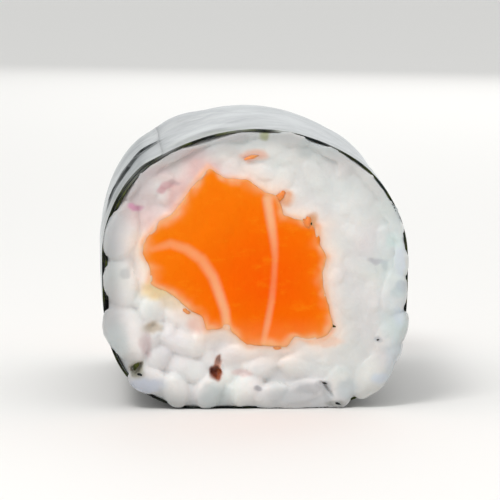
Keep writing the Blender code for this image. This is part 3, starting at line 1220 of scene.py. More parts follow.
    def build(self, finish: NoriFinish) -> Piece:
        """The sheet as a grid of share and place along the roll, with its thickness inside its rolled face.

        Both cut edges wander a little.

        Args:
            finish: What it is dressed in.

        Returns:
            The piece.
        """
        share, across = np.meshgrid(
            np.linspace(0.0, 1.0, self.steps_round), np.linspace(-1.0, 1.0, self.steps_along), indexing="ij"
        )
        edge = np.stack([share * self.ragged_length_mm * MM, np.sign(across) * MM, 0 * share], axis=-1)
        drawn_in = self.ragged * (1.0 + self.ragged_waves.at(edge)) * np.abs(across) ** self.ragged_power
        y = across * (self.form.half_length - drawn_in)
        points = self.rolled(share, y)
        mesh = make_mesh("nori", points, grid_quads(self.steps_round, self.steps_along), closed=False)
        set_share(mesh, "thin", self.thin_at(share, y))
        set_share(mesh, "starch", self.starch_at(points))
        piece = add_piece(mesh, finish.material())
        whole = piece.vertex_groups.new(name="whole")
        whole.add(range(len(mesh.vertices)), 1.0, "REPLACE")
        strength = self.from_free_edge(self.angle_of(share[:, 0]))
        for row in np.flatnonzero(strength < 1.0).tolist():
            start = row * self.steps_along
            whole.add(range(start, start + self.steps_along), float(strength[row]), "REPLACE")
        wall = piece.modifiers.new("Thickness", "SOLIDIFY")
        wall.thickness = self.thickness
        wall.vertex_group = whole.name
        wall.thickness_vertex_group = self.edge_thinness
        wall.offset = 1.0
        wall.use_even_offset = True
        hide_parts("nori_sheet")
        return piece


# The rice
# --------


def ball(rings: int, sides: int) -> Array:
    """A ball of radius 1 on a grid of polar angle and turn, whose poles lie on X.

    Args:
        rings: How many steps from pole to pole.
        sides: How many steps round.

    Returns:
        The places.
    """
    steps = np.linspace(0.0, math.pi, rings), np.linspace(0.0, FULL_TURN, sides + 1)
    polar, turn = np.meshgrid(*steps, indexing="ij")
    return np.stack([np.cos(polar), np.sin(polar) * np.cos(turn), np.sin(polar) * np.sin(turn)], axis=-1)


GRAIN_LUMPS = Waves(0.11, 1.4 * MM, 41)


@dataclass
class Grains:
    """A batch of grains: their middles, the way each lies, their half sizes and how white each is."""

    places: Array
    turns: Array
    sizes: Array
    whiteness: Array

    @classmethod
    def of(cls, rows: list[tuple[Array, Array, Array, float]]) -> Grains:
        """The batch whose rows are place, turn, half sizes and whiteness."""
        return cls(*(np.array(column) for column in zip(*rows)))

    @classmethod
    def joined(cls, *batches: Grains) -> Grains:
        """Several batches as one."""
        names = ("places", "turns", "sizes", "whiteness")
        return cls(*(np.concatenate([getattr(batch, name) for batch in batches]) for name in names))

    def surfaces(self, rings: int = 14, sides: int = 20) -> tuple[Array, Array]:
        """Every grain as an ellipsoid on a grid of polar angle and turn, a little lumpy.

        Args:
            rings: How many steps from tip to tip.
            sides: How many steps round.

        Returns:
            The points and the quads.
        """
        local = ball(rings, sides)[None] * self.sizes[:, None, None]
        points = np.einsum("gij,grsj->grsi", self.turns, local)
        lumpy = 1.0 + GRAIN_LUMPS.at(points + self.places[:, None, None] * 3.0)
        return repeated_grids(self.places[:, None, None] + points * lumpy[..., None])

    def nearest(self, points: Array) -> tuple[Array, Array]:
        """The grain that each point is deepest in or nearest to, and how deep: 0 at its middle, 1 on it.

        Args:
            points: The places.

        Returns:
            Grain numbers, and depths in the grain's own sizes.
        """
        best = np.full(len(points), np.inf)
        which = np.zeros(len(points), int)
        for number, (place, turn, size) in enumerate(zip(self.places, self.turns, self.sizes)):
            depth = np.linalg.norm((points - place) @ turn / size, axis=1)
            closer = depth < best
            best[closer] = depth[closer]
            which[closer] = number
        return which, best


def turn_about(axis: int, angle: float) -> Array:
    """The matrix of a turn about an axis.

    Args:
        axis: X, Y or Z, numbered 0 to 2.
        angle: How far.

    Returns:
        Three rows of three.
    """
    first, second = (axis + 1) % 3, (axis + 2) % 3
    matrix = np.eye(3)
    matrix[first, first] = matrix[second, second] = math.cos(angle)
    matrix[first, second], matrix[second, first] = -math.sin(angle), math.sin(angle)
    return matrix


@dataclass
class Footprint:
    """The oval that a grain covers on the cut face."""

    centre: Array
    spread: Array  # the oval is where (p - centre) . spread^-1 . (p - centre) is 1

    @classmethod
    def of(cls, centre: Array, turn: Array, size: Array) -> Footprint:
        """The oval of a grain with this middle, way of lying and half sizes."""
        spread = (turn * size**2) @ turn.T
        return cls(centre, spread[np.ix_([0, 2], [0, 2])])

    def ring(self, grow: float, steps: int = 14) -> Array:
        """Places round the oval, and its middle.

        Args:
            grow: How much larger than the oval.
            steps: How many places.

        Returns:
            X and Z pairs, the middle first.
        """
        turn = np.linspace(0.0, FULL_TURN, steps, endpoint=False)
        circle = np.stack([np.cos(turn), np.sin(turn)], axis=1) * grow
        return np.vstack([self.centre, self.centre + circle @ np.linalg.cholesky(self.spread).T])

    def holds(self, places: Array, grow: float) -> bool:
        """Whether the oval, grown by a factor, holds any of the places."""
        arm = places - self.centre
        return bool(((arm @ np.linalg.inv(self.spread)) * arm).sum(axis=1).min() < grow**2)


@dataclass(frozen=True)
class RimGrain:
    """A grain that sags over the sheet's edge: where it is round the rim, and its sizes in millimetres."""

    angle_deg: float
    half_length: float
    half_width: float
    overhang: float
    swing_deg: float = 0.0


SHOWN_RIM = tuple(RimGrain(*row) for row in (
    (164.0, 3.0, 1.6, 0.35), (184.5, 2.4, 1.6, 0.3, 5.0), (204.5, 3.0, 1.9, 0.42, -3.0),
    (225.5, 1.9, 1.35, 0.42, 24.0), (236.5, 1.8, 1.3, 0.1, -28.0), (249.5, 1.9, 1.4, 0.1, 78.0),
    (265.5, 1.9, 1.3, 0.05, 62.0), (275.5, 1.9, 1.05, -0.25, 12.0), (289.0, 3.0, 1.15, 0.0, -4.0),
    (305.0, 2.0, 1.4, 0.12, 48.0), (317.5, 2.9, 1.45, 0.45, 2.0), (334.5, 2.5, 1.3, 0.22, -4.0),
    (350.5, 2.5, 1.25, 0.06, 3.0),
))  # fmt: skip
FAR_RIM = tuple(RimGrain(*row) for row in (
    (176.0, 2.6, 1.5, 0.22, -6.0), (195.0, 2.2, 1.4, 0.32, 14.0), (211.0, 2.7, 1.6, 0.4, 2.0),
    (229.0, 2.4, 1.5, 0.42, -12.0), (244.0, 2.0, 1.3, 0.05, 55.0), (257.0, 2.6, 1.2, 0.0, 5.0),
    (273.0, 1.8, 1.4, 0.08, 70.0), (287.0, 2.7, 1.2, 0.02, -6.0), (303.0, 1.9, 1.3, 0.15, 36.0),
    (316.0, 2.6, 1.4, 0.42, -5.0), (332.5, 2.3, 1.4, 0.3, 9.0), (348.0, 2.7, 1.3, 0.15, 0.0),
    (6.0, 2.4, 1.2, 0.02, 4.0),
))  # fmt: skip


@dataclass(frozen=True)
class GrainLayer:
    """How one layer of a cut face's grains is laid."""

    tries: int
    crowding: float  # the share of its size at which a grain has to clear the others
    tilt: float  # how far a grain may tip out of the face
    proud: Pair  # how far it may stand out of the cut
    salmon_lap: float  # how far it may run under the salmon's edge


@dataclass
class RiceTones:
    """The rice's colours: its grains', greyer between them with painted crease shade, the salmon's tints
    round it, and painted shade darkening its rim.
    """

    form: RollForm
    salmon: SalmonStrip
    inset: float  # how far the nori's inner face lies inside the roll's outline
    white: Colour = (0.840, 0.812, 0.788)
    clear: Colour = (0.580, 0.590, 0.590)
    # The grey between the grains: painted crease shade, partly the clearer rice there.
    groove: Colour = (0.690, 0.690, 0.690)
    blush: Colour = (0.78, 0.53, 0.50)
    warm: Colour = (0.960, 0.790, 0.690)
    peach: Colour = (1.00, 0.51, 0.31)
    usual_whiteness: float = 0.68
    merging: Fade = Fade(1.0, 0.6, 0.5)
    merged_share: float = 0.45
    merged_clouds: Waves = Waves(0.45, 2.8 * MM, 65)
    cut_through: Fade = Fade(0.25, 0.95, -0.35)
    between: Fade = Fade(0.8, 0.95, 0.30)
    clouds: tuple[tuple[Waves, Colour], ...] = (
        (Waves(1.0, 2.6 * MM, 62), (0.020, -0.004, 0.014)),
        (Waves(1.0, 1.9 * MM, 63), (-0.012, 0.010, 0.010)),
    )
    blotches: Waves = Waves(0.6, 1.5 * MM, 61)
    warm_reach: float = 1.4 * MM
    blush_near: Halo = Halo(0.30, 1.1 * MM)
    blush_far: Halo = Halo(0.90, 3.6 * MM)
    stain_reach: float = 0.36 * MM
    stain_waves: Waves = Waves(0.5, 0.8 * MM, 64)
    # Painted shade that darkens and cools the rice towards the rim, by the angle round it, and painted light
    # at the lower left inside it.
    rim_reach: float = 2.4 * MM
    rim_shade_tint: Colour = (1.0, 0.95, 0.92)
    lower_left_painted_light: Fade = Fade(0.06, 8.0, 5.0)
    rim_shade: tuple[Pair, ...] = (
        (0.0, 0.16), (35.0, 0.11), (60.0, 0.24), (95.0, 0.34), (140.0, 0.28), (170.0, 0.42), (210.0, 0.41),
        (240.0, 0.36), (270.0, 0.21), (305.0, 0.19), (335.0, 0.23),
    )  # fmt: skip

    def of_grains(self, points: Array, grains: Grains, mashed: Array) -> Array:
        """Each grain whiter or clearer, whitest where it is cut through its middle, and greyer between
        grains, which is painted crease shade over the clearer rice there.

        Where it is smeared one grain can't be told from the next.

        Args:
            points: The places.
            grains: The grains.
            mashed: How much the rice is smeared, for each point.

        Returns:
            A colour for each point.
        """
        which, depth = grains.nearest(points)
        own = np.sqrt(grains.whiteness[which]) - self.usual_whiteness
        own = own * (1.0 - mashed * self.merging.at(depth)) * (1.0 - self.merged_share * mashed)
        whiteness = self.usual_whiteness + own + self.merged_clouds.at(points) * mashed
        solid = np.clip(0.30 + 0.60 * whiteness + self.cut_through.at(depth), 0.0, 1.0)
        # Painted shade in the creases between the grains, less where the rice is smeared.
        between = self.between.at(depth) * (1.0 - 0.7 * mashed)
        white, clear = np.array(self.white), np.array(self.clear)
        colour = mixed(clear + (white - clear) * solid[:, None], self.groove, between)
        for waves, tint in self.clouds:
            colour = colour + waves.at(points)[:, None] * np.array(tint)
        return colour

    def by_salmon(self, points: Array, colour: Array) -> Array:
        """The colours warmed near the salmon, blushed to its left, and stained right beside it.

        Args:
            points: The places.
            colour: A colour for each point.

        Returns:
            The tinted colours.
        """
        gap = np.maximum(self.salmon.gap_to(points), 0.0)
        x, z = self.form.in_section(points)
        left = ramp(x, 1.0, -7.0) * smoothstep((z + 0.6 * x + 3.8) / 3.0)
        blotch = 0.75 + self.blotches.at(points)
        glow = bell(gap, self.warm_reach) * (0.95 - 0.75 * left) * (0.9 + 0.2 * blotch)
        pink = (self.blush_near.at(gap) * left + self.blush_far.at(gap) * left) * blotch
        stained = bell(gap, self.stain_reach) * (0.85 + self.stain_waves.at(points))
        colour = mixed(colour, self.warm, np.clip(glow, 0.0, 1.0))
        colour = mixed(colour, self.blush, np.clip(pink, 0.0, 0.9))
        return mixed(colour, self.peach, np.clip(stained, 0.0, 0.9))

    def at_rim(self, points: Array, colour: Array) -> Array:
        """The colours darker and cooler towards the rim, which is painted shade, and a little lighter at the
        lower left inside it, which is painted light.

        Args:
            points: The places.
            colour: A colour for each point.

        Returns:
            The shaded colours.
        """
        x, z = self.form.in_section(points)
        inner = self.form.depth_inside(points[:, [0, 2]], self.inset)
        # Painted shade at the rim, fading inwards.
        shade = np.interp(np.degrees(np.arctan2(z, x)), *np.array(self.rim_shade).T, period=360.0)
        shade = shade * smoothstep(1.0 - inner / self.rim_reach)
        # Painted light: the lower left inside the rim made lighter.
        lift = self.lower_left_painted_light.at(-x - z) * smoothstep(inner / self.rim_reach)
        return colour * (1.0 + lift[:, None] - shade[:, None] * np.array(self.rim_shade_tint))


@dataclass
class RiceBed:
    """The bed of rice round the salmon, whose grains show at both cut ends and sag over the nori's edge."""

    form: RollForm
    salmon: SalmonStrip
    nori: NoriSheet
    tones: RiceTones
    grain_length: float = 5.2 * MM
    grain_width: float = 2.7 * MM
    grain_depth: float = 2.3 * MM
    size_spread: float = 0.16
    top: GrainLayer = GrainLayer(9000, 0.74, math.radians(38), (-0.10 * MM, 0.40 * MM), 0.35 * MM)
    fill: GrainLayer = GrainLayer(5000, 0.50, math.radians(75), (-0.45 * MM, 0.10 * MM), 0.875 * MM)
    nori_lap: float = 0.10 * MM
    salmon_lap: float = 0.35 * MM
    rim_proud: float = 0.85 * MM
    rim_half_depth_mm: float = 1.25
    rim_tip: float = 0.14
    rim_roll: float = 0.20
    rim_clearance: float = 0.05 * MM
    bead_span_deg: Pair = (152.0, 372.0)
    bead_radius: float = 1.3 * MM
    bead_depth: float = 1.1 * MM
    bead_overhang: float = 0.02 * MM
    bead_sags: tuple[Triple, ...] = ((284.0, 17.0, 0.40 * MM), (330.0, 6.0, 0.40 * MM))
    bead_proud: float = 0.12 * MM
    bead_taper: float = 9.0
    bead_steps: tuple[int, int] = (150, 24)
    lap_places: tuple[Pair, ...] = (
        (-14.0, 0.0), (-5.0, 0.1), (-1.0, 1.0), (6.0, 1.0), (11.0, 0.35), (16.0, 0.9), (24.0, 1.0),
        (29.0, 0.6), (35.0, 0.65), (40.0, 0.9), (45.0, 0.3), (50.0, 0.35), (57.0, 0.9), (62.0, 0.5),
        (67.0, 0.2), (71.0, 0.75), (77.0, 0.8), (83.0, 0.5), (90.0, 0.25), (98.0, 0.6), (104.0, 0.2),
        (110.0, 0.0), (118.0, 0.2), (126.0, 0.7), (132.0, 0.4), (140.0, 0.65), (146.0, 0.4), (151.0, 0.0),
    )  # fmt: skip
    lap_inset: float = 0.64 * MM
    lap_radius_mm: Pair = (0.20, 0.48)
    lap_depth: float = 0.32 * MM
    lap_sink: float = 0.50 * MM
    lap_most: float = 1.15
    lap_waves: Waves = Waves(0.35, 0.9 * MM, 56, 2)
    lap_steps: tuple[int, int] = (300, 18)
    far_lap_turn: float = 136.0
    smear: float = 0.62
    smear_waves: Waves = Waves(1.6, 3.5 * MM, 55)
    smear_right: Fade = Fade(1.0, -3.0, 8.0)
    smear_top: Fade = Fade(0.8, 4.0, 5.0)
    smear_by_salmon: Halo = Halo(0.6, 1.7 * MM)
    smear_rim: float = 1.5 * MM
    smear_depth: Fade = Fade(1.0, -1.6 * MM, 0.8 * MM)
    knife_softness: float = 0.20 * MM
    knife_bite: float = 0.1 * MM
    knife_waves: Waves = Waves(0.16 * MM, 4.5 * MM, 52)
    loose_softness: float = 1.00 * MM
    loose_rim: float = 2.4 * MM
    loose_low: Fade = Fade(1.0, 4.0, -6.0)
    loose_lower_left: Fade = Fade(0.75, 0.0, 14.0)
    hole_reach: float = 2.0 * MM
    core_sink: float = 0.70 * MM
    slab_depth: float = 3.2 * MM
    slab_steps: int = 220
    slab_rings: int = 26
    slab_waves: Waves = Waves(0.20 * MM, 1.3 * MM, 51, 2)
    slab_rise: float = 0.30 * MM
    contact_reach: float = 0.55 * MM
    contact_rise: float = 0.05 * MM
    contact_waves: Waves = Waves(0.12 * MM, 1.0 * MM, 54, 2)
    middle_steps: int = 96
    gap: float = 0.02 * MM
    floor_clearance: float = 0.06 * MM
    bite: float = 0.90 * MM
    bite_fade: Fade = Fade(1.0, 0.1 * MM, 0.8 * MM)
    voxel: float = 0.15 * MM
    smoothing: int = 3
    fine_waves: tuple[Waves, ...] = (Waves(0.045 * MM, 0.95 * MM, 71), Waves(0.022 * MM, 0.40 * MM, 72))
    fine_depth: float = 2.4 * MM
    seeds: tuple[int, int] = (11, 23)

    def grain_sizes(self, draw: np.random.Generator) -> Array:
        """Half of one grain's length, depth and width, each a little off the usual."""
        usual = np.array([self.grain_length, self.grain_depth, self.grain_width]) / 2
        return usual * (1.0 + self.size_spread * draw.uniform(-1.0, 1.0, 3))

    def grain_turn(self, lie: float, tilt: float, roll: float) -> Array:
        """A grain's way of lying: rolled about its length, tipped out of the cut face, then laid in it."""
        return turn_about(1, -lie) @ turn_about(2, tilt) @ turn_about(0, roll)

    @staticmethod
    def reach_along(turn: Array, size: Array, direction: Sequence[float]) -> float:
        """How far a grain reaches: the length of its half sizes times the turned direction."""
        return float(np.linalg.norm(size * (turn.T @ np.array(direction, float))))

    def rim_grains(self, end: CutEnd, draw: np.random.Generator) -> tuple[Grains, list[Footprint]]:
        """The grains that sag over the sheet's edge, each lying along the rim or across it.

        Args:
            end: Which cut end.
            draw: Where the random numbers come from.

        Returns:
            The grains, and the ovals they cover.
        """
        rows, ovals = [], []
        for grain in SHOWN_RIM if end is CutEnd.SHOWN else FAR_RIM:
            angle = math.radians(grain.angle_deg)
            size = np.array([grain.half_length, self.rim_half_depth_mm, grain.half_width]) * MM
            jitter = draw.uniform(-1.0, 1.0, 2)
            lie = angle + math.pi / 2 + math.radians(grain.swing_deg)
            turn = self.grain_turn(lie, self.rim_tip * jitter[0], self.rim_roll * jitter[1])
            reach = self.reach_along(turn, size, (math.cos(angle), 0.0, math.sin(angle)))
            section = self.form.outline(np.array(angle), reach - grain.overhang * MM)
            z = max(section[1], self.rim_clearance + self.reach_along(turn, size, (0.0, 0.0, 1.0)))
            depth = self.form.half_length + self.rim_proud - self.reach_along(turn, size, (0.0, 1.0, 0.0))
            place = np.array([section[0], end.value * depth, z])
            rows.append((place, turn, size, draw.uniform(0.3, 1.0)))
            ovals.append(Footprint.of(place[[0, 2]], turn, size))
        return Grains.of(rows), ovals

    def face_grains(
        self, end: CutEnd, draw: np.random.Generator, ovals: list[Footprint], layer: GrainLayer
    ) -> Grains:
        """Grains at seeded random places in the cut face, less those that crowd others or leave the bed.

        A grain is kept where its oval meets no other's, both drawn smaller by the crowding. Grains on top are
        laid first and the deeper ones fill the gaps.

        Args:
            end: Which cut end.
            draw: Where the random numbers come from.
            ovals: The ovals already covered, which those of the kept grains join.
            layer: How this layer's grains are laid.

        Returns:
            The grains.
        """
        side, tilt = end.value, layer.tilt
        rows = []
        for _ in range(layer.tries):
            size = self.grain_sizes(draw)
            lie, tip, roll = draw.uniform(0, math.pi), draw.uniform(-tilt, tilt), draw.uniform(0, math.pi)
            turn = self.grain_turn(lie, tip, roll)
            place = draw.uniform(-1.0, 1.0, 2) * self.form.width / 2 + self.form.middle
            proud = draw.uniform(*layer.proud)
            oval = Footprint.of(place, turn, size)
            ring = oval.ring(layer.crowding)
            if self.form.depth_inside(oval.ring(1.0), self.nori.thickness).min() < -self.nori_lap:
                continue
            at_end = np.insert(oval.ring(1.0), 1, side * self.form.half_length, axis=1)
            if self.salmon.gap_to(at_end).min() < -layer.salmon_lap:
                continue
            if any(other.holds(ring, layer.crowding) for other in ovals):
                continue
            ovals.append(oval)
            depth = self.form.half_length + proud - self.reach_along(turn, size, (0.0, 1.0, 0.0))
            rows.append((np.array([place[0], side * depth, place[1]]), turn, size, draw.uniform(0.0, 1.0)))
        return Grains.of(rows)

    def tube(self, low: float, high: float, steps: int, rings: int, clearance: float) -> Array:
        """The bed's surface between two places along the roll, a closed ring-shaped solid.

        Its two parameters are the angle round the salmon and a path round the solid's own section: out over
        its low end, back along the nori, in over its high end and forward along the salmon.

        Args:
            low: Where it starts along the roll.
            high: Where it stops.
            steps: How many steps round.
            rings: How many rings each end has.
            clearance: How far outside the salmon it starts.

        Returns:
            The points, as rings on the first axis.
        """
        angle = np.linspace(-math.pi, math.pi, steps, endpoint=False)
        direction = np.stack([np.cos(angle), np.sin(angle)], axis=-1)
        flat = self.salmon.hub + (self.salmon.outline_reach(angle) + clearance)[:, None] * direction
        all_round = np.linspace(0, FULL_TURN, 720, endpoint=False)
        round_roll = self.form.outline(all_round, self.nori.thickness + self.gap)
        path = []
        for level, shares in ((low, np.linspace(0.0, 1.0, rings)), (high, np.linspace(1.0, 0.0, rings))):
            inner = self.salmon.placed(flat, np.full(steps, level))[:, [0, 2]]
            hub = self.salmon.placed(self.salmon.hub[None], np.array([level]))[0, [0, 2]]
            arm = inner - hub
            reach = ray_reach(round_roll, hub, np.arctan2(arm[:, 1], arm[:, 0]))
            outer = hub + arm * (reach / np.hypot(arm[:, 0], arm[:, 1]))[:, None]
            section = inner + shares[:, None, None] * (outer - inner)
            path.append(np.insert(section, 1, level, axis=2))
        return np.concatenate(path)

    def slab(self, end: CutEnd) -> tuple[Array, Array]:
        """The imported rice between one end's grains, whose front is uneven, and fuller where it is smeared.

        Args:
            end: Which cut end.

        Returns:
            The points and the quads.
        """
        side, rings = end.value, self.slab_rings
        front = side * (self.form.half_length - self.core_sink)
        back = side * (self.form.half_length - self.slab_depth)
        points = self.tube(min(front, back), max(front, back), self.slab_steps, rings, -self.salmon_lap)
        is_front = np.arange(2 * rings) < rings if side < 0 else np.arange(2 * rings) >= rings
        at_salmon = bell(np.maximum(self.salmon.gap_to(points), 0.0), self.contact_reach)
        uneven = self.slab_waves.at(points) + self.slab_rise * self.mashed_at(points)
        contact = self.core_sink + self.contact_rise + self.contact_waves.at(points)
        uneven = uneven * (1.0 - at_salmon) + contact * at_salmon
        points[is_front, :, 1] += side * uneven[is_front]
        quads = grid_quads(2 * rings, self.slab_steps, wrap_rows=True, wrap_columns=True)
        return points.reshape(-1, 3), quads

    def round_rim(self, end: CutEnd, angle: Array, inset: Array, level: Array) -> tuple[Array, Array]:
        """A surface carried round the rim.

        Args:
            end: Which cut end.
            angle: Angles round the roll, as a grid.
            inset: How far inside the outline each point is.
            level: How far from the origin it is along the roll.

        Returns:
            The points and the quads.
        """
        section = self.form.outline(angle, inset)
        points = np.stack([section[..., 0], end.value * level, section[..., 1]], axis=-1)
        return points.reshape(-1, 3), grid_quads(*angle.shape)

    def bead(self, end: CutEnd) -> tuple[Array, Array]:
        """The rice that has spread over the sheet's lower edge, between its grains: a bead along the rim.

        It is an oval carried round the rim, whose size swells and shrinks by a soft noise and eases to
        nothing at both ends. In two places it sags further out and down over the edge.

        Args:
            end: Which cut end.

        Returns:
            The points and the quads.
        """
        start, stop = np.radians(self.bead_span_deg)
        steps, sides = self.bead_steps
        turns = np.linspace(0.0, FULL_TURN, sides + 1)
        angle, turn = np.meshgrid(np.linspace(start, stop, steps), turns, indexing="ij")
        share = (angle - start) / (stop - start)
        size = np.sqrt(np.clip(np.minimum(share, 1.0 - share) * self.bead_taper, 0.0, 1.0))
        waves = Waves(0.12, 2.1 * MM, 53 + end.value)
        swell = size * (1.0 + waves.at(self.form.at_radius(angle, end.value * self.form.width / 2)))
        sags = sum(sag * bell(np.degrees(angle) - place, spread) for place, spread, sag in self.bead_sags)
        over = (self.bead_overhang + sags) * size
        inset = self.bead_radius - self.bead_radius * swell * np.cos(turn) - over
        proud = self.bead_proud + sags * size
        level = self.form.half_length + proud - self.bead_depth + self.bead_depth * swell * np.sin(turn)
        return self.round_rim(end, angle, inset, level)

    def lap(self, end: CutEnd) -> tuple[Array, Array]:
        """The rice smeared over the sheet's upper edge in some places and drawn back from it in others.

        It is an oval carried round the rim, larger and further forward where the rice laps over the edge. At
        the far end the places are the shown end's, mirrored.

        Args:
            end: Which cut end.

        Returns:
            The points and the quads.
        """
        places, laps = np.array(self.lap_places).T
        steps, sides = self.lap_steps
        turns = np.linspace(0.0, FULL_TURN, sides + 1)
        angle, turn = np.meshgrid(np.radians(np.linspace(places[0], places[-1], steps)), turns, indexing="ij")
        if end is CutEnd.FAR:
            places, laps = self.far_lap_turn - places[::-1], laps[::-1]
        ragged = 1.0 + self.lap_waves.at(self.form.at_radius(angle, end.value * self.form.width / 2))
        over = np.clip(np.interp(np.degrees(angle), places, laps) * ragged, 0.0, self.lap_most)
        least, more = self.lap_radius_mm
        inset = self.lap_inset - (least + more * over) * MM * np.cos(turn)
        sunk = self.lap_sink * (1.0 - np.minimum(over, 1.0))
        return self.round_rim(end, angle, inset, self.form.half_length - sunk + self.lap_depth * np.sin(turn))

    def mashed_at(self, points: Array) -> Array:
        """How much the rice is smeared: most at the right, the top and the salmon, none at the lower left.

        Args:
            points: The places.

        Returns:
            Shares from 0 to 1.
        """
        x, z = self.form.in_section(points)
        blotch = self.smear_waves.at(without_y(points))
        by_salmon = self.smear_by_salmon.at(np.maximum(self.salmon.gap_to(points), 0.0))
        right = self.smear_right.at(x + 0.25 * z + blotch)
        return np.maximum.reduce([right, self.smear_top.at(z + blotch), by_salmon])

    def knife_cut(self, points: Array, inner: Array, side: int) -> Array:
        """Where the knife leaves each point along the roll.

        Relief is flattened where the knife has smeared it. What stands out further than the knife's softness
        is eased back by a tanh, less at the rim and at the lower left, where grains are loose.

        Args:
            points: The places.
            inner: How far inside the nori's inner face each point is.
            side: On which side of the origin the cut end is.

        Returns:
            Places along the roll.
        """
        x, z = self.form.in_section(points)
        at_rim = smoothstep(1.0 - inner / self.loose_rim) * self.loose_low.at(z)
        loose = np.maximum(at_rim, self.loose_lower_left.at(-x - z))
        room = self.knife_softness + (self.loose_softness - self.knife_softness) * loose
        wavy = self.knife_waves.at(without_y(points))
        start = self.form.half_length + wavy - np.minimum(0.5 * room, self.knife_bite)
        smear = self.smear * self.mashed_at(points) * smoothstep(inner / self.smear_rim)
        level = side * points[:, 1] - start
        smeared = side * (start + level * (1.0 - smear * self.smear_depth.at(level)))
        over = np.maximum(side * smeared - start, 0.0)
        return np.where(over > 0.0, side * (start + room * np.tanh(over / room)), smeared)

    def clear_nori(self, points: Array, inner: Array, side: int) -> None:
        """Moves what is inside the nori to its inner face or to the top of its cut edge, if that is nearer.

        Args:
            points: The places, which it changes.
            inner: How far inside the nori's inner face each point is.
            side: On which side of the origin the cut end is.
        """
        below_edge = self.form.half_length - side * points[:, 1]
        in_wall = (inner < 0.0) & (below_edge > -self.gap)
        lift_out = in_wall & (below_edge < -inner)
        points[lift_out, 1] = side * (self.form.half_length + self.gap)
        press_in = in_wall & ~lift_out
        arm = points[:, [0, 2]] - self.form.middle
        length = np.maximum(np.hypot(arm[:, 0], arm[:, 1]), 1e-9)
        section = self.form.middle + arm * ((length + inner) / length)[:, None]
        points[np.ix_(press_in, [0, 2])] = section[press_in]

    def trimmed(self, points: Array, end: CutEnd) -> Array:
        """Rice pressed by the knife, the salmon and the nori, with the gaps between its grains sunk in.

        What is inside the salmon moves out of it, all the way only from a millimetre below the cut, so the
        two meet without a crevice.

        Args:
            points: The places.
            end: Which cut end.

        Returns:
            The moved points.
        """
        moved = points.copy()
        side = end.value
        inner = self.form.depth_inside(moved[:, [0, 2]], self.nori.thickness + self.gap)
        moved[:, 1] = self.knife_cut(moved, inner, side)
        if end is CutEnd.SHOWN:
            x, z = torn_places(moved, self.form)
            for hole in SHOWN_HOLES:
                in_front = ramp(moved[:, 1], self.hole_reach - self.form.half_length, -MM)
                moved[:, 1] += hole.depth_at(x, z) * in_front
        self.clear_nori(moved, inner, side)
        under = self.bite_fade.at(self.form.half_length - side * moved[:, 1])
        moved = self.salmon.pushed_out(moved, self.gap - self.bite * (1.0 - under))
        moved[:, 2] = np.maximum(moved[:, 2], self.floor_clearance)
        return moved

    def colours(self, points: Array, grains: Grains, end: CutEnd) -> Array:
        """The rice's colour: its grains' with painted crease shade, the salmon's tints, painted shade and
        light at the rim, and at the shown end its stains, painted shade and painted highlights.

        Args:
            points: The places.
            grains: The grains.
            end: Which cut end.

        Returns:
            A colour for each point.
        """
        colour = self.tones.of_grains(points, grains, self.mashed_at(points))
        colour = self.tones.at_rim(points, self.tones.by_salmon(points, colour))
        if end is CutEnd.SHOWN:
            x, z = torn_places(points, self.form)
            # Stains, painted shade and painted highlights on the shown end.
            for spot in SHOWN_STAINS_AND_PAINTED_LIGHT:
                colour = spot.paint(x, z, colour)
        return np.clip(colour, 0.0, 1.0)

    def end_mesh(self, end: CutEnd, seed: int) -> Mesh:
        """One end's rice: its slab, its rim and its grains as one skin, trimmed, roughened and coloured.

        Args:
            end: Which cut end.
            seed: Where its random numbers start.

        Returns:
            The mesh.
        """
        draw = np.random.default_rng(seed)
        rim, ovals = self.rim_grains(end, draw)
        top = self.face_grains(end, draw, ovals, self.top)
        fill = self.face_grains(end, draw, ovals, self.fill)
        grains = Grains.joined(rim, top, fill)
        counts = [len(batch.places) for batch in (rim, top, fill)]
        log.info("%s end: %d rim, %d top and %d fill grains", end.name, *counts)
        parts = [self.slab(end), self.bead(end), self.lap(end), grains.surfaces()]
        starts = np.cumsum([0] + [len(points) for points, _ in parts[:-1]])
        points = np.concatenate([points for points, _ in parts])
        faces = np.concatenate([quads + start for (_, quads), start in zip(parts, starts)])
        back = self.form.half_length - self.slab_depth
        points[:, 1] = end.value * np.maximum(end.value * points[:, 1], back)
        mesh = fused_mesh(f"rice_{end.name.lower()}_end", points, faces, self.voxel, self.smoothing)
        set_mesh_points(mesh, self.trimmed(mesh_points(mesh), end))
        roughen(mesh, self.fine_waves, self.form.half_length - self.fine_depth)
        set_colours(mesh, "rice_colour_and_painted_shade", self.colours(mesh_points(mesh), grains, end))
        return mesh

    def middle_mesh(self) -> Mesh:
        """The plain bed between the two ends, from one slab's back to the other's."""
        reach, steps = self.form.half_length - self.slab_depth, self.middle_steps
        points = self.tube(-reach, reach, steps, 2, self.gap)
        mesh = make_mesh("rice_middle", points, grid_quads(4, steps, wrap_rows=True, wrap_columns=True))
        set_colours(mesh, "rice_colour_and_painted_shade", np.tile(self.tones.white, (points.size // 3, 1)))
        return mesh

    def build(self, finish: RiceFinish) -> list[Piece]:
        """Both ends' rice, and the plain bed between them that the nori hides.

        Args:
            finish: What they are dressed in.

        Returns:
            The pieces.
        """
        material = finish.material()
        meshes = [self.end_mesh(end, seed) for end, seed in zip(CutEnd, self.seeds)]
        meshes.append(self.middle_mesh())
        pieces = [add_piece(mesh, material) for mesh in meshes]
        for piece in pieces:
            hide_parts("rice_bed")
        return pieces


TEARS = (Waves(0.20, 0.8 * MM, 91, 2), Waves(0.20, 0.8 * MM, 92, 2))


def torn_places(points: Array, form: RollForm) -> tuple[Array, Array]:
    """Places in the cut face in millimetres from the roll's middle, shifted by noise that tears ovals.

    Args:
        points: The places.
        form: The roll's form.

    Returns:
        X and Z.
    """
    x, z = form.in_section(points)
    return x + TEARS[0].at(without_y(points)), z + TEARS[1].at(without_y(points))


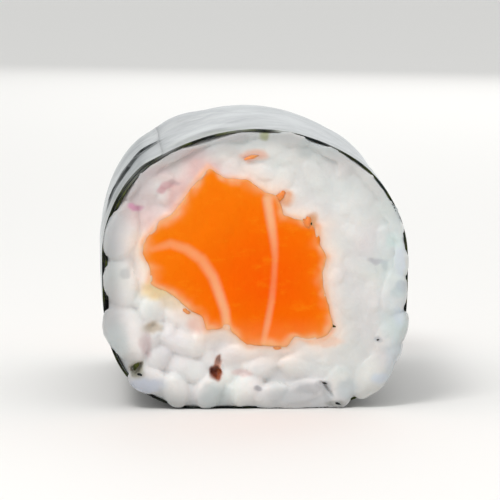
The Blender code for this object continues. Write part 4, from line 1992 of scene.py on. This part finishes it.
@dataclass(frozen=True)
class StainOrPaintedLight:
    """A place on the shown end's rice that is a stain, painted shade, or a painted highlight."""

    x_mm: float
    z_mm: float
    width_mm: float
    height_mm: float
    colour: Colour
    strength: float
    edge: float = 0.9  # how wide its soft edge is, as a share of its size

    def paint(self, x: Array, z: Array, colours: Array) -> Array:
        """Mixes the stain, painted shade or painted highlight into the colours over its width and height,
        eased at its edge.

        Args:
            x: Torn places' X.
            z: Their Z.
            colours: A colour for each point.

        Returns:
            The stained colours.
        """
        radius = np.hypot((x - self.x_mm) / self.width_mm, (z - self.z_mm) / self.height_mm)
        share = self.strength * ramp(radius, 1.0 + self.edge / 2, -self.edge)
        return mixed(colours, self.colour, share)


@dataclass(frozen=True)
class Hole:
    """A small gap between grains in the shown end's rice."""

    x_mm: float
    z_mm: float
    width_mm: float
    height_mm: float
    depth_mm: float
    lean: float = 0.0

    def depth_at(self, x: Array, z: Array) -> Array:
        """How far the hole moves each point back, eased from its middle to its edge.

        Args:
            x: Torn places' X.
            z: Their Z.

        Returns:
            Distances along +Y.
        """
        z = z - self.z_mm
        radius = np.hypot((x - self.x_mm - self.lean * z) / self.width_mm, z / self.height_mm)
        return self.depth_mm * MM * ramp(radius, 1.25, -0.7)


SHOWN_HOLES = tuple(Hole(*row) for row in (
    (-3.95, -9.75, 0.62, 0.72, 0.8, 0.15), (-3.6, -8.8, 0.26, 0.75, 0.5, 0.2),
    (-11.3, -9.3, 0.5, 0.6, 0.6, 0.4), (-9.8, -5.5, 0.9, 0.55, 0.22, -0.2),
    (6.6, -11.3, 0.24, 0.8, 0.35, -0.75),
))  # fmt: skip

# The yellow, beige, brown, pink, orange and peach rows, and the three small grey specks at (0.1, -11.3),
# (6.3, -10.9) and (11.4, -6.7), are stains. The other grey, grey-beige and blue-grey rows, along the top rim,
# the bottom rim and both sides, are painted shade. The pale blue and cyan rows at the right rim are painted
# highlights and painted cool light.
SHOWN_STAINS_AND_PAINTED_LIGHT = tuple(StainOrPaintedLight(*row) for row in (
    (-9.4, -1.9, 1.5, 0.9, (0.88, 0.68, 0.38), 0.85), (-7.9, -3.0, 1.2, 0.9, (0.84, 0.7, 0.5), 0.65),
    (-9.8, -5.4, 1.0, 0.6, (0.56, 0.47, 0.36), 0.8), (-10.4, -7.2, 0.6, 1.2, (0.62, 0.48, 0.48), 0.65),
    (-3.6, -8.75, 0.34, 0.7, (0.46, 0.13, 0.035), 0.9, 0.6),
    (-3.9, -9.8, 0.66, 0.78, (0.34, 0.075, 0.015), 1.0, 0.5),
    (-4.15, -9.75, 0.36, 0.6, (0.12, 0.02, 0.006), 0.9, 0.7),
    (-11.3, -9.3, 0.7, 0.8, (0.24, 0.22, 0.15), 0.85), (-8.8, 7.6, 0.5, 0.36, (0.62, 0.28, 0.32), 0.6),
    (-8.3, 7.95, 0.6, 0.28, (0.6, 0.3, 0.33), 0.6), (-7.7, 8.25, 0.5, 0.22, (0.5, 0.34, 0.35), 0.6),
    (-2.6, 9.8, 0.9, 0.85, (0.88, 0.82, 0.79), 0.6), (-9.6, 9.2, 1.5, 0.4, (0.56, 0.47, 0.48), 0.45),
    (-6.4, 10.9, 2.2, 0.4, (0.56, 0.5, 0.5), 0.45), (-11.3, 5.9, 0.6, 0.28, (0.6, 0.22, 0.38), 0.75),
    (-1.4, -9.8, 1.0, 0.35, (0.72, 0.5, 0.47), 0.55), (3.6, -12.1, 2.8, 0.9, (0.5, 0.51, 0.52), 0.7),
    (5.2, -11.3, 1.6, 0.5, (0.42, 0.43, 0.44), 0.6), (6.7, -11.9, 0.45, 0.9, (0.42, 0.44, 0.45), 0.5),
    (7.3, -12.7, 0.9, 0.25, (0.3, 0.31, 0.28), 0.6), (-4.2, -12.0, 1.3, 1.2, (0.47, 0.52, 0.52), 0.7),
    (-10.6, -10.9, 1.8, 0.8, (0.5, 0.54, 0.63), 0.7), (8.4, -11.4, 0.9, 0.9, (0.48, 0.53, 0.55), 0.55),
    (11.7, -10.4, 0.9, 0.6, (0.54, 0.62, 0.74), 0.5), (13.0, -9.0, 0.8, 2.6, (0.55, 0.62, 0.66), 0.45),
    (4.6, 11.5, 0.8, 0.9, (0.5, 0.53, 0.52), 0.6), (-13.2, -6.6, 1.1, 1.6, (0.55, 0.6, 0.6), 0.45),
    (11.4, 0.8, 0.8, 0.24, (0.4, 0.38, 0.42), 0.6), (12.1, 0.3, 0.3, 0.45, (0.36, 0.38, 0.4), 0.55),
    (13.4, -1.7, 0.45, 0.5, (0.36, 0.38, 0.46), 0.65), (13.1, -2.3, 0.6, 0.45, (0.44, 0.49, 0.5), 0.5),
    (13.4, 0.8, 0.5, 1.4, (0.64, 0.66, 0.8), 0.5), (13.3, -4.4, 0.5, 1.1, (0.64, 0.66, 0.8), 0.45),
    (12.8, 2.6, 0.7, 0.8, (0.66, 0.83, 0.78), 0.5), (-12.4, -0.2, 0.5, 0.5, (0.42, 0.42, 0.42), 0.45),
    (-4.6, 12.2, 3.4, 0.8, (0.56, 0.6, 0.6), 0.4), (12.7, 2.2, 1.4, 3.8, (0.66, 0.75, 0.75), 0.45, 1.2),
    (12.9, -4.4, 1.3, 3.4, (0.56, 0.67, 0.68), 0.45, 1.2),
    (1.0, -8.3, 7.0, 0.9, (0.88, 0.8, 0.76), 0.35, 1.2), (-3.0, 12.6, 1.8, 0.55, (0.46, 0.43, 0.44), 0.6),
    (0.7, 12.75, 0.45, 0.55, (0.34, 0.36, 0.2), 0.85), (0.1, -11.3, 0.4, 0.16, (0.3, 0.29, 0.32), 0.7),
    (6.3, -10.9, 0.7, 0.4, (0.42, 0.42, 0.43), 0.6), (11.4, -6.7, 0.24, 0.24, (0.4, 0.41, 0.44), 0.6),
    (-0.3, 10.7, 1.1, 0.45, (0.82, 0.44, 0.3), 0.75), (2.7, 6.8, 0.85, 0.75, (0.8, 0.38, 0.18), 0.8),
    (5.1, 4.4, 0.65, 0.8, (0.68, 0.3, 0.1), 0.8), (6.6, -6.9, 1.6, 0.4, (0.92, 0.58, 0.4), 0.5),
    (-5.6, -5.3, 0.9, 0.8, (0.86, 0.48, 0.36), 0.55),
))  # fmt: skip


# Loose bits
# ----------


class BitKind(Enum):
    """What a loose bit is torn from, with what its material reads to make it look faded or green."""

    FLESH = ("pale", 0.4)
    FADED_FLESH = ("fat", 0.45)
    NORI = ("starch", 0.03)
    GREEN_NORI = ("thin", 0.9)


@dataclass(frozen=True)
class Bit:
    """One bit that sticks to the shown end: its place and half sizes in millimetres, and how it lies."""

    kind: BitKind
    x: float
    z: float
    half_length: float
    half_width: float
    lie_deg: float = 0.0
    half_depth: float = 0.12


SHOWN_BITS = (
    Bit(BitKind.FADED_FLESH, -0.5, 10.6, 0.60, 0.20, 14.0, 0.14),
    Bit(BitKind.FLESH, 2.2, 6.9, 0.44, 0.34, 40.0, 0.20),
    Bit(BitKind.FLESH, 4.7, 4.4, 0.48, 0.36, 75.0, 0.22),
    Bit(BitKind.FADED_FLESH, -6.6, -3.9, 0.34, 0.20, -35.0, 0.14),
    Bit(BitKind.FADED_FLESH, 2.0, -7.4, 0.40, 0.18, 8.0, 0.14),
    Bit(BitKind.GREEN_NORI, 5.1, 4.3, 0.13, 0.08, 70.0, 0.08),
    Bit(BitKind.GREEN_NORI, 7.2, -5.4, 0.18, 0.12, -30.0, 0.09),
    Bit(BitKind.GREEN_NORI, -11.4, -9.1, 0.38, 0.20, 50.0, 0.10),
    Bit(BitKind.NORI, -11.0, -9.8, 0.24, 0.13, -20.0, 0.09),
    Bit(BitKind.NORI, 6.4, -10.8, 0.24, 0.08, -12.0, 0.09),
    Bit(BitKind.NORI, 7.6, -12.7, 0.28, 0.09, -25.0, 0.10),
    Bit(BitKind.NORI, 11.4, -6.7, 0.11, 0.08, 10.0, 0.07),
)


@dataclass
class LooseBits:
    """Small scraps of salmon and flecks of nori that the knife left on the shown end."""

    form: RollForm
    bits: tuple[Bit, ...] = SHOWN_BITS
    tears: Waves = Waves(0.45, 0.55, 81, 2)
    bed_reach: float = 0.30 * MM
    sunk: float = 0.06 * MM
    rings: int = 9
    sides: int = 14

    def build(self, bed: Array, kinds: Sequence[BitKind], name: str, material: Material, slot: str) -> Piece:
        """The bits of these kinds as one piece, each an uneven oval half sunk where it lies.

        Args:
            bed: The vertices of the rice that they lie on.
            kinds: Which kinds.
            name: The piece's name.
            material: What they are dressed in.
            slot: Not used.

        Returns:
            The piece.
        """
        whole = ball(self.rings, self.sides)
        chosen = [bit for bit in self.bits if bit.kind in kinds]
        shapes = []
        for number, bit in enumerate(chosen):
            torn = whole * (1.0 + self.tears.at(whole + 5.0 * number))[..., None]
            local = torn * np.array([bit.half_length, bit.half_depth, bit.half_width]) * MM
            place = np.array([bit.x * MM, 0.0, bit.z * MM + self.form.height / 2])
            near = np.hypot(bed[:, 0] - place[0], bed[:, 2] - place[2]) < self.bed_reach
            place[1] = (bed[near, 1].min() if near.any() else -self.form.half_length) + self.sunk
            shapes.append(local @ turn_about(1, -math.radians(bit.lie_deg)).T + place)
        mesh = make_mesh(name, *repeated_grids(np.array(shapes)))
        for share in sorted({kind.value[0] for kind in kinds}):
            values = [bit.kind.value[1] * (bit.kind.value[0] == share) for bit in chosen]
            set_share(mesh, share, np.repeat(values, self.rings * (self.sides + 1)))
        return add_piece(mesh, material)


# The studio
# ----------


@dataclass(frozen=True)
class Lamp:
    """A square lamp that faces the roll: where it stands round it, how far off, its side and its power."""

    name: str
    azimuth_deg: float
    elevation_deg: float
    distance: float
    size: float
    watts: float


@dataclass
class Studio:
    """A pale floor, soft light, and a camera at the photograph's viewing angle."""

    centre: Vector
    azimuth: float = math.radians(-2.5)
    elevation: float = math.radians(7.1)
    distance: float = 0.3
    lens_mm: float = 219.0
    sensor_mm: float = 36.0
    nearest_shown: float = 0.01
    floor_half: float = 6.0
    floor_colour: Colour = (0.885, 0.865, 0.840)
    floor_roughness: float = 0.7
    floor_ior: float = 1.3
    room_colour: Colour = (0.975, 0.995, 1.0)
    room_strength: float = 0.75
    lamps: tuple[Lamp, ...] = (
        Lamp("key_lamp", -34.0, 56.0, 0.35, 0.11, 0.47),
        Lamp("back_lamp", 162.5, 30.0, 0.40, 0.40, 0.36),
    )

    def along(self, azimuth: float, elevation: float) -> Vector:
        """The direction from the object towards a place seen at this azimuth and elevation."""
        flat = math.cos(elevation)
        return Vector((math.sin(azimuth) * flat, -math.cos(azimuth) * flat, math.sin(elevation)))

    def face_roll(self, thing: Piece, away: Vector, distance: float) -> None:
        """Puts a lamp or the camera this far away in a direction, turned towards the roll's middle."""
        thing.location = self.centre + away * distance
        thing.rotation_mode = "QUATERNION"
        thing.rotation_quaternion = (-away).to_track_quat("-Z", "Y")
        bpy.context.scene.collection.objects.link(thing)

    def add_camera(self) -> None:
        """The camera, level and aimed at the roll's middle."""
        data = bpy.data.cameras.new("camera")
        data.lens = self.lens_mm
        data.sensor_width = self.sensor_mm
        data.clip_start = self.nearest_shown
        camera = bpy.data.objects.new("camera", data)
        self.face_roll(camera, self.along(self.azimuth, self.elevation), self.distance)
        bpy.context.scene.camera = camera

    def add_lamp(self, lamp: Lamp) -> None:
        """Adds one of the lamps."""
        data = bpy.data.lights.new(lamp.name, "AREA")
        data.size = lamp.size
        data.energy = lamp.watts
        away = self.along(math.radians(lamp.azimuth_deg), math.radians(lamp.elevation_deg))
        self.face_roll(bpy.data.objects.new(lamp.name, data), away, lamp.distance)

    def add_floor(self) -> None:
        """A flat square of floor under the roll."""
        corners = np.array([(-1, -1, 0), (1, -1, 0), (1, 1, 0), (-1, 1, 0)], float) * self.floor_half
        mesh = make_mesh("floor", corners, np.array([[0, 1, 2, 3]]), closed=False)
        board = NodeBoard("pale_floor")
        board.set_sockets(board.shader, Roughness=self.floor_roughness, IOR=self.floor_ior)
        board.shader.inputs["Base Color"].default_value = (*self.floor_colour, 1.0)
        mesh.materials.append(board.material)
        floor = bpy.data.objects.new("floor", mesh)
        bpy.context.scene.collection.objects.link(floor)

    def add_world(self) -> None:
        """White light from all round."""
        world = bpy.data.worlds.new("white_room")
        world.use_nodes = True
        background = world.node_tree.nodes["Background"]
        background.inputs["Color"].default_value = (*self.room_colour, 1.0)
        background.inputs["Strength"].default_value = self.room_strength
        bpy.context.scene.world = world

    def build(self) -> None:
        """Sets all of it up."""
        self.add_camera()
        self.add_world()
        self.add_floor()
        for lamp in self.lamps:
            self.add_lamp(lamp)
        bpy.context.scene.view_settings.view_transform = "Standard"


def main() -> None:
    """Loads the frame, then builds and dresses each piece in order."""
    logging.basicConfig(level=logging.INFO, format="%(name)s: %(message)s")
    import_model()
    low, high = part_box("nori_sheet")
    form = RollForm(length=high.y - low.y)
    Studio(centre=Vector((0.0, 0.0, form.height / 2))).build()
    salmon = SalmonStrip(form)
    nori = NoriSheet(form)
    strip = salmon.build(SalmonFinish())
    sheet = nori.build(NoriFinish())
    tones = RiceTones(form, salmon, nori.thickness)
    shown_rice = RiceBed(form, salmon, nori, tones).build(RiceFinish())[0]
    bed = mesh_points(shown_rice.data)
    bits = LooseBits(form)
    flesh, flecks = (BitKind.FLESH, BitKind.FADED_FLESH), (BitKind.NORI, BitKind.GREEN_NORI)
    bits.build(bed, flesh, "salmon_scraps", strip.data.materials[0], "salmon")
    bits.build(bed, flecks, "nori_flecks", sheet.data.materials[0], "nori")


if __name__ == "__main__":
    main()
